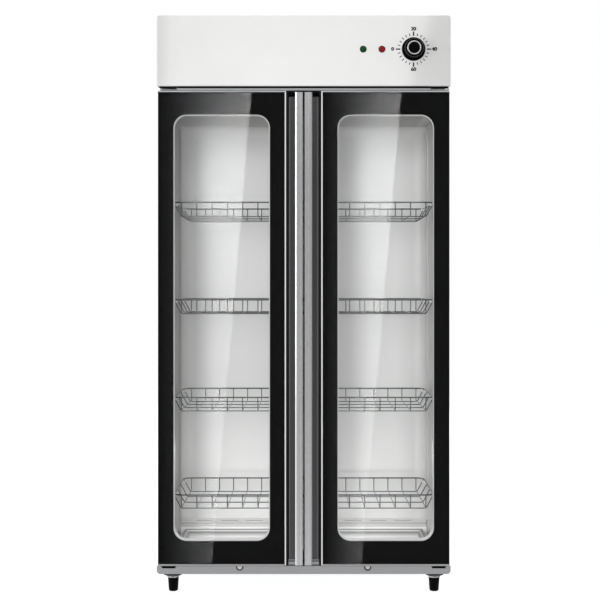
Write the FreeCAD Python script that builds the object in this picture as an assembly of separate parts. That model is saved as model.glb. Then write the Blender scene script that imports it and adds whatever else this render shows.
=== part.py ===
import FreeCAD, Part
import math
import os

# Two-door dish sterilizer cabinet, free standing on four levelling feet.
# Millimetres. +Z is up, the doors face -Y, and the origin is on the floor
# below the middle of the whole object, knob included.

V = FreeCAD.Vector
X_AXIS = V(1, 0, 0)
Y_AXIS = V(0, 1, 0)
Z_AXIS = V(0, 0, 1)

# ---- driving dimensions ----------------------------------------------------
WIDTH = 850.0             # header and sill, the widest pieces
DEPTH = 450.0             # glass front of the doors to the rear end of the cord bush
HEIGHT = 1680.0
KNOB_PROUD = 26.0         # how far the timer knob stands out of the header
FOOT_HEIGHT = 64.0        # floor to the underside of the base
SILL_HEIGHT = 23.0
BASE_FOLD = 21.0          # height of the base pan's folded edges
HEADER_HEIGHT = 205.0
DOOR_BOTTOM = 89.0
DOOR_TOP = 1461.0
DOOR_GAP = 4.0            # between the two doors
DOOR_DEPTH = 30.0         # glass face to the back of the inner door frame
SEAL_DEPTH = 7.5          # magnetic door seal
FLAP_DEPTH = (20.0, 23.0) # flap over the meeting gap, back from the glass
FLAP_REACH = 1.4          # how far the flap passes the middle
FACE_DEPTH = 38.0         # glass face to the face frame behind the doors
SHEET = 1.0               # casing and liner sheet
INSULATION = 27.0
RACK_PITCH = 287.5
RACK_COUNT = 4
LOWEST_RACK = 281.0       # height of the lowest rack's rim
RACK_DROP = 38.0          # rim down to the bottom wires

# ---- levels and planes worked out from them --------------------------------
FRONT = -(DEPTH - KNOB_PROUD) / 2
BACK = FRONT + DEPTH
FACE = FRONT + FACE_DEPTH
SIDE = WIDTH / 2 - 1.0              # outer face of the side panels
BASE = FOOT_HEIGHT
SILL_TOP = BASE + SILL_HEIGHT
HEADER_BOTTOM = HEIGHT - HEADER_HEIGHT
LINER_SIDE = SIDE - SHEET - INSULATION - SHEET   # inner face of the liner
LINER_FLOOR = 97.0
LINER_CEILING = 1412.0
LINER_BACK = BACK - 32.0
TRAY_LEVEL = LINER_CEILING + 29.0   # floor of the control compartment
FLANGE = 15.0                       # folded returns of the casing sheets
UPSTAND = 18.0                      # how far face frame and control tray rise behind the header
FACE_SHEET = 2.0
CASING_REAR = BACK - SHEET          # outer face of the side panels' returns
INNER_REAR = BACK - 3 * SHEET       # inner face of the back panel, which sits inside them

# ---- header, top rail and sill ---------------------------------------------
HEADER_WALL = 2.0
HEADER_EASE = 2.6                   # how far the front edges are eased
HEADER_RADII = (3.0, 7.0)           # lower and upper corners
RAIL_Z = (DOOR_TOP + 2.0, HEADER_BOTTOM - 4.0)
RAIL_SET_BACK = 2.0
RAIL_WALL = 1.5
SILL_WALL = 1.5
SILL_CORNER = 10.0
HINGE_SLOT_X = (370.0, 411.0)       # recess in the sill in front of each lower bracket
NOTCH_X = 185.0                     # door buffers in the sill's upper edge
NOTCH_Z = SILL_TOP - 2.5
NOTCH_RADIUS = 11.0
NOTCH_DEPTH = 3.0

# ---- liner -----------------------------------------------------------------
COVE_RADIUS = 34.0                  # rounded edges of the chamber's rear wall
COVE_REACH = 36.0                   # how far its returns lap the walls and ceiling

# ---- rear ------------------------------------------------------------------
SLOT_BANK_X = 230.0                 # middle of each bank of cooling slots
SLOT_LENGTH = 90.0
SLOT_HEIGHT = 6.0
SLOT_PITCH = 18.0
SLOT_COUNT = 5
GLAND_X = 330.0
GLAND_Z = 1490.0
GLAND_RADIUS = 9.0
GLAND_BORE = 4.5
GLAND_LENGTH = 7.0

# ---- doors -----------------------------------------------------------------
GLASS = 4.0
PRINT = 0.3
DOOR_OUTER = SIDE - 2.0             # hinge edge of a door
HANDLE_WIDTH = 53.5
DOOR_INNER = DOOR_GAP / 2           # meeting edge of a door
GLASS_INNER = DOOR_INNER + HANDLE_WIDTH
RAIL_LIP = 4.5                      # end rail seen above and below the glass
WINDOW_X = (98.0, 377.0)
WINDOW_Z = (159.0, 1393.0)
WINDOW_RADIUS = 38.0
WINDOW_LIP = 2.5                    # inner frame seen inside the print's edge
HINGE_X = 416.0
HINGE_Y = FRONT + 15.0
PIN_RADIUS = 4.0
PIN_CLEARANCE = 0.06
PIN_REACH = 16.0                    # pin inside the door
PIN_HEAD = 3.0
BRACKET_X = (368.0, 422.0)          # hinge brackets, measured out from the middle
BRACKET_THICK = 3.0
LOW_BRACKET = SILL_TOP - BRACKET_THICK
TOP_BRACKET = DOOR_TOP + 3.0

# ---- door pulls: widths run out from the meeting edge, depths back from the glass ----
PULL_MOUTH = (22.5, 43.5)           # finger mouth
PULL_HOOK = 9.0                     # how near the edge the groove reaches behind the bar
PULL_BAR = 6.0
PULL_FLOOR = 24.0
PULL_BEVEL = 3.4                    # bevel from the bar's face into the groove
PULL_BEVEL_DROP = 2.6
PULL_NOSE = 1.6                     # rounding of the bar's edge in the mouth
PULL_BEND = 2.0                     # rounding behind the bar, and of the hook's two floor corners
HOOK_BEND = 4.0
FLOOR_BEND = 6.0
PULL_EASE = 1.8
PULL_LIP_RADIUS = 2.5
PULL_SEAT = 10.0                    # ledge that carries the groove strip
PULL_NOTCH = 13.0                   # groove opened through at both ends
FLUTE_START = 4.2
FLUTE_PITCH = 3.6
FLUTE_WIDTH = 1.0
FLUTE_DEPTH = 0.5
FLUTE_COUNT = 3

# ---- controls --------------------------------------------------------------
CONTROL_Z = 1582.0
KNOB_X = 317.5
GREEN_X = 172.0
RED_X = 226.0
LAMP_RADIUS = 10.0
LAMP_SIDES = 16
STEM_SIDES = 8
SHAFT_RADIUS = 3.0
LAMP_STEM = LAMP_RADIUS - 2.1
LAMP_STEM_LENGTH = 6.0
LAMP_BEZEL = 2.0
LAMP_DOME = ((2.0, 8.5), (3.6, 7.5), (4.8, 5.0))    # how far proud, and radius
TIMER_CASE = (52.0, 34.0, 48.0)     # width, depth and height
KNOB_SKIRT = (34.0, 21.0, 25.4)     # radius, then near and far depth from the knob's face
KNOB_GRIP = (28.0, 4.0, 21.0)
KNOB_RING = (20.5, 1.0, 4.0)
KNOB_CAP = (15.8, 0.0, 1.0)

# ---- feet ------------------------------------------------------------------
FOOT_X = 384.0
FOOT_Y = (FRONT + 62.0, BACK - 45.0)
STUD_RADIUS = 5.0
STUD_CLEARANCE = 0.06
STUD_LOW = 16.0
RING_LOW = 42.0                     # lock ring over the foot
RING_THICK = 3.0
RING_RADIUS = 19.0
SOCKET_LOW = 50.0                   # plate under the base that the stud stands in
SOCKET_HALF = 26.0
CUP_SIDES = 16
CUP_PROFILE = ((0, 11.5), (3.0, 13.6), (RING_LOW - 0.5, 16.2))    # height and radius

# ---- racks -----------------------------------------------------------------
RIM_X = 384.0                       # rim wire's centre line at the rack's ends
RACK_FRONT = FRONT + 62.0
RACK_BACK = RACK_FRONT + 288.0
RIM_HALF = 2.2                      # half the side of a rim wire
WIRE_HALF = 1.5                     # half the side of a basket wire
RACK_FLOOR_X = 362.0                # where the end wires meet the rack's floor
RACK_CORNER = 24.0
U_WIRE_PITCH = 45.0
U_WIRE_COUNT = 17
LONG_WIRE_COUNT = 4
POST_Y = (RACK_FRONT + 38.0, RACK_BACK - 38.0)
POST_WIDTH = 12.0
POST_DEPTH = 5.0
HOOK_REACH = 17.0
HOOK_THICK = 2.0
HOOK_LIP = 5.0

# ---- chamber floor ---------------------------------------------------------
TRAY_X = 372.0
TRAY_Y = (FACE + 14.0, LINER_BACK - 92.0)
TRAY_RIM = 122.0
TRAY_SLOPE = 12.0                   # how far the walls lean out
TRAY_LIP = 6.0
COVER_TOP = 139.0                   # heater cover
COVER_FRONT = LINER_BACK - 78.0
HEATER_Y = LINER_BACK - 40.0
HEATER_Z = (109.0, 125.0)
HEATER_HALF = 330.0
HEATER_RADIUS = 5.0
SOCKET_LENGTH = 22.0


# ---- small helpers ---------------------------------------------------------
def block(x, y, z):
    """A box between pairs of x, y and z."""
    size = (x[1] - x[0], y[1] - y[0], z[1] - z[0])
    return Part.makeBox(*size, V(x[0], y[0], z[0]))


def cylinder(radius, length, base, axis=Z_AXIS):
    return Part.makeCylinder(radius, length, base, axis)


def prism(points, direction):
    """A straight extrusion of a closed outline."""
    face = Part.Face(Part.makePolygon(points + [points[0]]))
    return face.extrude(direction)


def extrude_wire(edges, direction):
    return Part.Face(Part.Wire(edges)).extrude(direction)


def rounded_outline(x, z, radii, y):
    """Edges of a rectangle in XZ at depth y, with its own radius at each corner.

    radii run bottom left, bottom right, top right, top left.
    """
    corners = [(x[0], z[0]), (x[1], z[0]), (x[1], z[1]), (x[0], z[1])]
    inward = [(1, 1), (-1, 1), (-1, -1), (1, -1)]
    start_angle = [180, 270, 0, 90]
    stops = []
    for (cx, cz), (ix, iz), angle, radius in zip(corners, inward, start_angle, radii):
        centre = (cx + ix * radius, cz + iz * radius)
        arc = []
        for turn in (0, 45, 90):
            a = math.radians(angle + turn)
            arc.append(V(centre[0] + radius * math.cos(a), y, centre[1] + radius * math.sin(a)))
        stops.append((radius, arc))
    edges = []
    for i, (radius, arc) in enumerate(stops):
        if radius > 0:
            edges.append(Part.Arc(*arc).toShape())
        following = stops[(i + 1) % 4][1][0]
        edges.append(Part.LineSegment(arc[2], following).toShape())
    return edges


def rounded_plate(x, y, z, radii):
    """A plate standing in XZ between two depths, with rounded corners."""
    return extrude_wire(rounded_outline(x, z, radii, y[0]), V(0, y[1] - y[0], 0))


def mirrored(shape):
    return shape.mirror(V(0, 0, 0), X_AXIS)


def both_sides(shape):
    return [shape, mirrored(shape)]


def ring_of(centre, side, other, radius, sides):
    """Corners of a regular polygon about a point, its flats square to side."""
    corners = []
    for i in range(sides):
        a = 2 * math.pi * (i + 0.5) / sides
        corners.append(centre + side * (radius * math.cos(a)) + other * (radius * math.sin(a)))
    return corners


def skinned(rings):
    """A solid of flat faces through a run of matching corner rings."""
    faces = [Part.Face(Part.makePolygon(ring + [ring[0]])) for ring in (rings[0], rings[-1])]
    for low, high in zip(rings, rings[1:]):
        for i in range(len(low)):
            j = (i + 1) % len(low)
            corners = [low[i], low[j], high[j], high[i], low[i]]
            faces.append(Part.Face(Part.makePolygon(corners)))
    solid = Part.makeSolid(Part.makeShell(faces))
    if solid.Volume < 0:
        solid.reverse()
    return solid


def rod(start, end, radius, sides):
    """A straight bar of polygonal section between two points."""
    along = end - start
    side = along.cross(Z_AXIS)
    if side.Length < 1e-6:
        side = X_AXIS
    side = V(side).normalize()
    other = V(along.cross(side)).normalize()
    return prism(ring_of(start, side, other, radius, sides), along)


def wire(start, end, half=None):
    """A basket wire; its square section has a round wire's area."""
    return rod(start, end, (half or WIRE_HALF) * math.sqrt(2), 4)


def bent_bar(points, half):
    """A square bar along a level path, mitred where it turns."""
    rings = []
    for i, point in enumerate(points):
        before = (point - points[i - 1]) if i > 0 else (points[1] - point)
        after = (points[i + 1] - point) if i < len(points) - 1 else before
        before, after = V(before).normalize(), V(after).normalize()
        side = V(before + after).normalize().cross(Z_AXIS)
        reach = half / side.dot(before.cross(Z_AXIS))
        rings.append([point + side * (reach * a) + Z_AXIS * (half * b)
                      for a, b in ((1, 1), (-1, 1), (-1, -1), (1, -1))])
    return skinned(rings)


def fused(shapes):
    """One solid from pieces that overlap."""
    first, rest = shapes[0], shapes[1:]
    return first.multiFuse(rest).removeSplitter() if rest else first


def save(name, *shapes):
    """Write one named piece; several solids are kept apart in it."""
    solids = [solid for shape in shapes for solid in shape.Solids]
    shape = solids[0] if len(solids) == 1 else Part.makeCompound(solids)
    shape.exportStep("parts/" + name + ".step")


# ---- casing ----------------------------------------------------------------
def side_panel():
    """Right-hand side sheet with a folded return along its rear edge."""
    outer, inner, rear = SIDE, SIDE - SHEET, CASING_REAR
    outline = [V(outer, FACE, BASE), V(outer, rear, BASE), V(outer - FLANGE, rear, BASE),
               V(outer - FLANGE, rear - SHEET, BASE), V(inner, rear - SHEET, BASE),
               V(inner, FACE, BASE)]
    return prism(outline, V(0, 0, HEIGHT - SHEET - BASE))


def top_cover():
    """Lid sheet with flanges folded down inside the side panels."""
    inside = SIDE - SHEET - 0.2
    low = HEIGHT - SHEET - FLANGE
    lid = block((-SIDE, SIDE), (FACE, CASING_REAR), (HEIGHT - SHEET, HEIGHT))
    flange = block((inside - SHEET, inside), (FACE, INNER_REAR - 0.5), (low, HEIGHT - SHEET))
    rear_flange = block((-SIDE + FLANGE + 1, SIDE - FLANGE - 1),
                        (CASING_REAR - SHEET, CASING_REAR), (low, HEIGHT - SHEET))
    return fused([lid, rear_flange] + both_sides(flange))


def back_panel():
    """Rear sheet inside the returns, with two banks of cooling slots and the gland's hole."""
    y = (INNER_REAR, INNER_REAR + SHEET)
    half = SIDE - SHEET
    sheet = block((-half, half), y, (BASE, HEIGHT - SHEET))
    through = (y[0] - 1, y[1] + 1)
    slots = []
    for centre in (-SLOT_BANK_X, SLOT_BANK_X):
        for i in range(SLOT_COUNT):
            z = CONTROL_Z + (i - SLOT_COUNT // 2) * SLOT_PITCH
            slots.append(block((centre - SLOT_LENGTH / 2, centre + SLOT_LENGTH / 2), through,
                               (z - SLOT_HEIGHT / 2, z + SLOT_HEIGHT / 2)))
    start = V(GLAND_X, through[0], GLAND_Z)
    hole = rod(start, start + V(0, through[1] - through[0], 0), GLAND_RADIUS, 12)
    return sheet.cut(Part.makeCompound(slots + [hole]))


def base_pan():
    """Folded tray under the cabinet."""
    side, front, rear = SIDE - SHEET, FACE + FACE_SHEET, INNER_REAR
    outer = block((-side, side), (front, rear), (BASE, BASE + BASE_FOLD))
    inner = block((-side + SHEET, side - SHEET), (front + SHEET, rear - SHEET),
                  (BASE + SHEET, BASE + BASE_FOLD + 1))
    return outer.cut(inner)


def insulation_boards():
    """Mineral wool between the liner and the casing."""
    low, high = LINER_FLOOR - SHEET, LINER_CEILING + SHEET
    inner, outer = LINER_SIDE + SHEET, SIDE - SHEET
    front, rear = FACE + FACE_SHEET, INNER_REAR
    side = block((inner, outer), (front, rear), (low, high))
    back = block((-inner, inner), (LINER_BACK + SHEET, rear), (low, high))
    ceiling = block((-outer, outer), (front, rear), (high, TRAY_LEVEL))
    floor = block((-outer, outer), (front, rear), (BASE + BASE_FOLD + 1, low))
    return both_sides(side) + [back, ceiling, floor]


def control_tray():
    """Sheet floor of the control compartment with a stiffening upstand in front."""
    side, front, rear = SIDE - SHEET, FACE + FACE_SHEET, INNER_REAR
    low, top = TRAY_LEVEL, HEADER_BOTTOM + UPSTAND
    section = ((front, low), (rear, low), (rear, low + SHEET), (front + SHEET, low + SHEET),
               (front + SHEET, top), (front, top))
    return prism([V(-side, y, z) for y, z in section], V(2 * side, 0, 0))


def face_frame():
    """Two stiles and two rails around the chamber's mouth; the door seals close on them."""
    y = (FACE, FACE + FACE_SHEET)
    side = SIDE - SHEET
    stile = block((LINER_SIDE, side), y, (LINER_FLOOR, LINER_CEILING))
    top = block((-side, side), y, (LINER_CEILING, HEADER_BOTTOM + UPSTAND))
    bottom = block((-side, side), y, (BASE, LINER_FLOOR))
    return both_sides(stile) + [top, bottom]


def header_ring(inset, y):
    """The header's outline at one depth, drawn in from its edges by inset."""
    low_radius, top_radius = HEADER_RADII
    steps = 3
    ring = []
    corners = ((-1, 0, low_radius, 180), (1, 0, low_radius, 270), (1, 1, top_radius, 0),
               (-1, 1, top_radius, 90))
    for side, top, radius, start in corners:
        cx = side * (WIDTH / 2 - radius)
        cz = HEIGHT - radius if top else HEADER_BOTTOM + radius
        for i in range(steps + 1):
            a = math.radians(start + 90 * i / steps)
            reach = radius - min(inset, radius - 0.3)
            ring.append(V(cx + reach * math.cos(a), y, cz + reach * math.sin(a)))
    return ring


def header_panel():
    """Moulded control fascia: an open-backed shell with eased edges."""
    wall, ease = HEADER_WALL, HEADER_EASE
    rings = [header_ring(ease, FRONT), header_ring(ease * 0.3, FRONT + ease * 0.3),
             header_ring(0, FRONT + ease), header_ring(0, FACE)]
    hollow = block((-WIDTH / 2 + wall, WIDTH / 2 - wall), (FRONT + wall, FACE + 1),
                   (HEADER_BOTTOM + wall, HEIGHT - wall))
    fillet = HEADER_RADII[1] - wall
    corners = both_sides(block((WIDTH / 2 - fillet, WIDTH / 2), (FRONT, FACE + 2),
                               (HEIGHT - fillet, HEIGHT)))
    bores = []
    for x, radius in ((KNOB_X, SHAFT_RADIUS + 1.0), (GREEN_X, LAMP_STEM + 0.2),
                      (RED_X, LAMP_STEM + 0.2)):
        start = V(x, FRONT - 1, CONTROL_Z)
        bores.append(rod(start, start + V(0, wall + 2, 0), radius, STEM_SIDES))
    shell = skinned(rings).cut(hollow.cut(Part.makeCompound(corners)))
    return shell.cut(Part.makeCompound(bores))


def top_rail():
    """Folded rail over the doors, a channel open to the rear between the upper brackets."""
    half = BRACKET_X[0] - 1.0
    outer = block((-half, half), (FRONT + RAIL_SET_BACK, FACE), RAIL_Z)
    inner = block((-half - 1, half + 1), (FRONT + RAIL_SET_BACK + RAIL_WALL, FACE + 1),
                  (RAIL_Z[0] + RAIL_WALL, RAIL_Z[1] - RAIL_WALL))
    return outer.cut(inner)


def sill_outline(inset, corner):
    """The sill's front outline, drawn in by inset, its lower corners rounded in steps."""
    x, low, high = WIDTH / 2 - inset, BASE + inset, SILL_TOP - inset
    steps = 4
    quarter = []
    for i in range(steps + 1):
        a = math.radians(90 * i / steps)
        quarter.append((x - corner + corner * math.sin(a), low + corner - corner * math.cos(a)))
    right = [V(px, 0, pz) for px, pz in quarter] + [V(x, 0, high)]
    return right + [V(-p.x, 0, p.z) for p in reversed(right)]


def sill():
    """Folded front sill: a channel open to the rear, notched for brackets and buffers."""
    wall = SILL_WALL
    outer = prism([p + V(0, FRONT, 0) for p in sill_outline(0, SILL_CORNER)],
                  V(0, FACE - FRONT, 0))
    inner = prism([p + V(0, FRONT + wall, 0) for p in sill_outline(wall, SILL_CORNER - wall)],
                  V(0, FACE - FRONT, 0))
    seats = both_sides(block((BRACKET_X[0] - 0.5, WIDTH / 2 + 1), (FRONT + NOTCH_DEPTH, FACE + 1),
                             (LOW_BRACKET, SILL_TOP + 1)))
    seats += both_sides(block(HINGE_SLOT_X, (FRONT - 1, FRONT + NOTCH_DEPTH + 1),
                              (LOW_BRACKET, SILL_TOP + 1)))
    start = V(NOTCH_X, FRONT - 1, NOTCH_Z)
    notch = rod(start, start + V(0, NOTCH_DEPTH + 1, 0), NOTCH_RADIUS, 16)
    raised = block((NOTCH_X - NOTCH_RADIUS, NOTCH_X + NOTCH_RADIUS),
                   (FRONT - 1, FRONT + NOTCH_DEPTH), (NOTCH_Z, SILL_TOP + 1))
    return outer.cut(inner).cut(Part.makeCompound(seats + both_sides(notch) + both_sides(raised)))


def sill_buffers():
    """Round door buffers seated in the sill's notches, flat where the doors pass over."""
    proud, plate_thick = 0.5, 1.5
    start = V(NOTCH_X, FRONT - proud, NOTCH_Z)
    seat = start + V(0, NOTCH_DEPTH + proud, 0)
    disc = rod(start, seat, NOTCH_RADIUS - 3.5, 16)
    plate = rod(seat, seat + V(0, plate_thick, 0), NOTCH_RADIUS + 2.0, 16)
    above = block((0, WIDTH), (FRONT - 5, FACE), (SILL_TOP - proud, SILL_TOP + 40))
    under = block((0, WIDTH), (seat.y, FACE), (SILL_TOP - SILL_WALL, SILL_TOP + 40))
    return both_sides(disc.fuse(plate).cut(above).cut(under))


# ---- hinges ----------------------------------------------------------------
def low_bracket():
    """Flat plate let into the sill, carrying the pin that a door stands on."""
    return block((BRACKET_X[0], BRACKET_X[1]), (HINGE_Y - 6, FACE), (LOW_BRACKET, SILL_TOP))


def top_bracket():
    """Plate with a rounded nose, drilled for its pin and turned up against the face frame."""
    low = TOP_BRACKET
    nose = BRACKET_X[1] - HINGE_X
    outline = [V(BRACKET_X[0], HINGE_Y - nose, low)]
    for i in range(5):
        a = math.radians(-90 + 90 * i / 4)
        outline.append(V(HINGE_X + nose * math.cos(a), HINGE_Y + nose * math.sin(a), low))
    outline += [V(BRACKET_X[1], FACE, low), V(BRACKET_X[0], FACE, low)]
    plate = prism(outline, V(0, 0, BRACKET_THICK))
    foot = block((BRACKET_X[0], HINGE_X), (FACE - BRACKET_THICK, FACE), (low, low + 10))
    hole = cylinder(PIN_RADIUS, 2 * BRACKET_THICK, V(HINGE_X, HINGE_Y, low - 1))
    return fused([plate, foot]).cut(hole)


def hinge_brackets():
    return both_sides(top_bracket()) + both_sides(low_bracket())


def hinge_pins():
    """Hexagon-headed pins down through the upper brackets, plain pins on the lower ones."""
    centre = V(HINGE_X, HINGE_Y, 0)
    seat = TOP_BRACKET + BRACKET_THICK
    head = rod(centre + V(0, 0, seat), centre + V(0, 0, seat + PIN_HEAD), PIN_RADIUS + 3.0, 6)
    tip = DOOR_TOP - PIN_REACH
    top_pin = cylinder(PIN_RADIUS, seat - tip, centre + V(0, 0, tip))
    low_pin = cylinder(PIN_RADIUS, DOOR_BOTTOM + PIN_REACH - SILL_TOP, centre + V(0, 0, SILL_TOP))
    return both_sides(fused([head, top_pin])) + both_sides(low_pin)


# ---- chamber ---------------------------------------------------------------
def liner_sides():
    wall = block((LINER_SIDE, LINER_SIDE + SHEET), (FACE + FACE_SHEET, LINER_BACK + SHEET),
                 (LINER_FLOOR, LINER_CEILING))
    return both_sides(wall)


def coved(inset, radius):
    """A block whose rear edges are rounded at the top and both sides, drawn in by inset."""
    side, rear, top = LINER_SIDE - inset, LINER_BACK + SHEET - inset, LINER_CEILING - inset
    body = block((-side, side), (LINER_BACK - COVE_REACH, rear), (COVER_TOP, top))
    edges = []
    for edge in body.Edges:
        middle = edge.valueAt((edge.FirstParameter + edge.LastParameter) / 2)
        upright = abs(abs(middle.x) - side) < 0.01
        level = abs(middle.z - top) < 0.01
        if abs(middle.y - rear) < 0.01 and (upright or level):
            edges.append(edge)
    return body.makeFillet(radius, edges)


def liner_back():
    """Rear wall pressed with coved edges, flat below them where the heater cover meets it."""
    pan = coved(0, COVE_RADIUS + SHEET).cut(coved(SHEET, COVE_RADIUS))
    foot = block((-LINER_SIDE, LINER_SIDE), (LINER_BACK, LINER_BACK + SHEET),
                 (LINER_FLOOR, COVER_TOP))
    return pan.fuse(foot).removeSplitter()


def liner_level(low):
    """Floor or ceiling sheet of the chamber."""
    outer = LINER_SIDE + SHEET
    return block((-outer, outer), (FACE + FACE_SHEET, LINER_BACK + SHEET), (low, low + SHEET))


def rack_posts():
    """Four folded strips on the side walls that carry the rack hooks."""
    posts = []
    z = (LINER_FLOOR + 60, LINER_CEILING - 20)
    for y in POST_Y:
        post = block((LINER_SIDE - POST_DEPTH, LINER_SIDE),
                     (y - POST_WIDTH / 2, y + POST_WIDTH / 2), z)
        posts += both_sides(post)
    return posts


def rack_hooks():
    """Upturned hooks under each rack's end rims, one on every post at every level."""
    outer = LINER_SIDE - POST_DEPTH
    tip, under, half = outer - HOOK_REACH, 12.0, 4.0
    clearance = 0.3
    hooks = []
    for level in rack_levels():
        top = level - RIM_HALF - clearance
        outline = [V(outer, 0, top), V(outer, 0, top - under),
                   V(outer - HOOK_THICK, 0, top - under), V(tip, 0, top - HOOK_THICK),
                   V(tip, 0, top + HOOK_LIP), V(tip + HOOK_THICK, 0, top + HOOK_LIP),
                   V(tip + HOOK_THICK, 0, top)]
        for y in POST_Y:
            hook = prism([p + V(0, y - half, 0) for p in outline], V(0, 2 * half, 0))
            hooks += both_sides(hook)
    return hooks


def rack_levels():
    return [LOWEST_RACK + i * RACK_PITCH for i in range(RACK_COUNT)]


def rack(level):
    """One wire basket: a floor mat, front and rear mats and two sloping ends."""
    floor = level - RACK_DROP
    under = floor - 2 * WIRE_HALF
    across = [(i - (U_WIRE_COUNT - 1) / 2) * U_WIRE_PITCH for i in range(U_WIRE_COUNT)]
    inset = 12.0
    span = (RACK_BACK - RACK_FRONT - 2 * inset) / (LONG_WIRE_COUNT - 1)
    along = [RACK_FRONT + inset + i * span for i in range(LONG_WIRE_COUNT)]
    straight = RIM_X - RACK_CORNER
    near, far = RACK_FRONT + WIRE_HALF, RACK_BACK - WIRE_HALF

    cross_wires = [wire(V(x, near, floor), V(x, far, floor)) for x in across]
    long_wires = [wire(V(-RACK_FLOOR_X, y, under), V(RACK_FLOOR_X, y, under)) for y in along]
    pieces = [fused(cross_wires + long_wires[1:2]), long_wires[0]] + long_wires[2:]

    for y in (RACK_FRONT, RACK_BACK):
        rim = wire(V(-straight, y, level), V(straight, y, level), RIM_HALF)
        legs = [wire(V(x, y, floor - WIRE_HALF), V(x, y, level - RIM_HALF)) for x in across]
        pieces.append(fused([rim] + legs))

    turn = RACK_CORNER * (1 - math.sqrt(0.5))
    corner = [V(straight, RACK_FRONT, level), V(RIM_X - turn, RACK_FRONT + turn, level),
              V(RIM_X, RACK_FRONT + RACK_CORNER, level)]
    rear_corner = [V(p.x, RACK_FRONT + RACK_BACK - p.y, level) for p in reversed(corner)]
    end = [bent_bar(corner + rear_corner, RIM_HALF)]
    end += [wire(V(RACK_FLOOR_X + WIRE_HALF, y, under), V(RIM_X, y, level - 1)) for y in along]
    return pieces + both_sides(fused(end))


def drip_tray():
    """Shallow pressed pan under the lowest rack, with sloping walls and a turned rim."""
    bottom = LINER_FLOOR + 0.5
    slope, wall, lip = TRAY_SLOPE, SHEET, TRAY_LIP

    def ring(grow, z):
        x, y0, y1 = TRAY_X + grow, TRAY_Y[0] - grow, TRAY_Y[1] + grow
        corners = [V(-x, y0, z), V(x, y0, z), V(x, y1, z), V(-x, y1, z)]
        return Part.makePolygon(corners + [corners[0]])

    outer = Part.makeLoft([ring(-slope, bottom), ring(0, TRAY_RIM)], True, True)
    inner = Part.makeLoft([ring(-slope - wall, bottom + wall), ring(-wall, TRAY_RIM)], True, True)
    rim = block((-TRAY_X - lip, TRAY_X + lip), (TRAY_Y[0] - lip, TRAY_Y[1] + lip),
                (TRAY_RIM - wall, TRAY_RIM))
    hole = block((-TRAY_X + wall, TRAY_X - wall), (TRAY_Y[0] + wall, TRAY_Y[1] - wall),
                 (TRAY_RIM - 2 * wall, TRAY_RIM + wall))
    return outer.cut(inner).fuse(rim.cut(hole)).removeSplitter()


def heater_tubes():
    """Two quartz infrared tubes at the rear of the chamber's floor."""
    return [rod(V(-HEATER_HALF, HEATER_Y, z), V(HEATER_HALF, HEATER_Y, z), HEATER_RADIUS, 12)
            for z in HEATER_Z]


def heater_sockets():
    """Ceramic end blocks that hold both tubes."""
    x = (HEATER_HALF, HEATER_HALF + SOCKET_LENGTH)
    return both_sides(block(x, (HEATER_Y - 9, HEATER_Y + 9), (LINER_FLOOR, HEATER_Z[1] + 11)))


def heater_cover():
    """Sloping guard over the heater with a row of slots in its top, hooked to the rear wall."""
    low, high, front = LINER_FLOOR, COVER_TOP, COVER_FRONT
    ledge = front + 14.0
    x = LINER_SIDE - 1.0
    outline = [V(-x, front, low), V(-x, ledge, high), V(-x, LINER_BACK, high),
               V(-x, LINER_BACK, high - SHEET), V(-x, ledge + SHEET, high - SHEET),
               V(-x, front + SHEET, low)]
    guard = prism(outline, V(2 * x, 0, 0))
    slot_length, slot_pitch, slot_side = 56.0, 80.0, 4
    slots = []
    for i in range(-slot_side, slot_side + 1):
        centre = i * slot_pitch
        slots.append(block((centre - slot_length / 2, centre + slot_length / 2),
                           (HEATER_Y - 6, HEATER_Y + 6), (high - 5, high + 5)))
    return guard.cut(Part.makeCompound(slots))


# ---- controls --------------------------------------------------------------
def timer_body():
    """Clockwork timer behind the fascia, with the bearing for its shaft."""
    width, depth, height = TIMER_CASE
    rear = FRONT + HEADER_WALL
    case = block((KNOB_X - width / 2, KNOB_X + width / 2), (rear, rear + depth),
                 (CONTROL_Z - height / 2, CONTROL_Z + height / 2))
    bore = cylinder(SHAFT_RADIUS + PIN_CLEARANCE, 24.0, V(KNOB_X, rear - 1, CONTROL_Z), Y_AXIS)
    return case.cut(bore)


def timer_shaft():
    """Shaft from inside the timer to under the knob's cap."""
    inside, short_of_face = 22.0, 6.0
    return cylinder(SHAFT_RADIUS, inside + KNOB_PROUD - short_of_face,
                    V(KNOB_X, FRONT - KNOB_PROUD + short_of_face, CONTROL_Z), Y_AXIS)


def knob_disc(size, sides):
    """A many-sided disc on the knob's axis; depths count back from the knob's face."""
    radius, near, far = size
    start = V(KNOB_X, FRONT - KNOB_PROUD, CONTROL_Z)
    return rod(start + V(0, near, 0), start + V(0, far, 0), radius, sides)


def timer_knob():
    """Black knob: a grip of narrow flats standing on a wide skirt, and a plain cap."""
    bore = knob_disc((SHAFT_RADIUS / math.cos(math.pi / 12), 6, 30), 12)
    body = fused([knob_disc(KNOB_GRIP, 24), knob_disc(KNOB_SKIRT, 36)]).cut(bore)
    return [body, knob_disc(KNOB_CAP, 24)]


def knob_ring():
    """Bright disc between the grip and its cap, seen as a ring."""
    return knob_disc(KNOB_RING, 36)


def lamp_lens(x):
    """Indicator lens with a bezel lip against the fascia."""
    centre = V(x, FRONT, CONTROL_Z)
    bezel = rod(centre - V(0, LAMP_BEZEL, 0), centre, LAMP_RADIUS, LAMP_SIDES)
    dome = skinned([ring_of(centre - V(0, proud, 0), X_AXIS, Z_AXIS, radius, LAMP_SIDES)
                    for proud, radius in LAMP_DOME])
    stem = rod(centre, centre + V(0, LAMP_STEM_LENGTH, 0), LAMP_STEM, STEM_SIDES)
    return fused([bezel, dome, stem])


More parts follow.
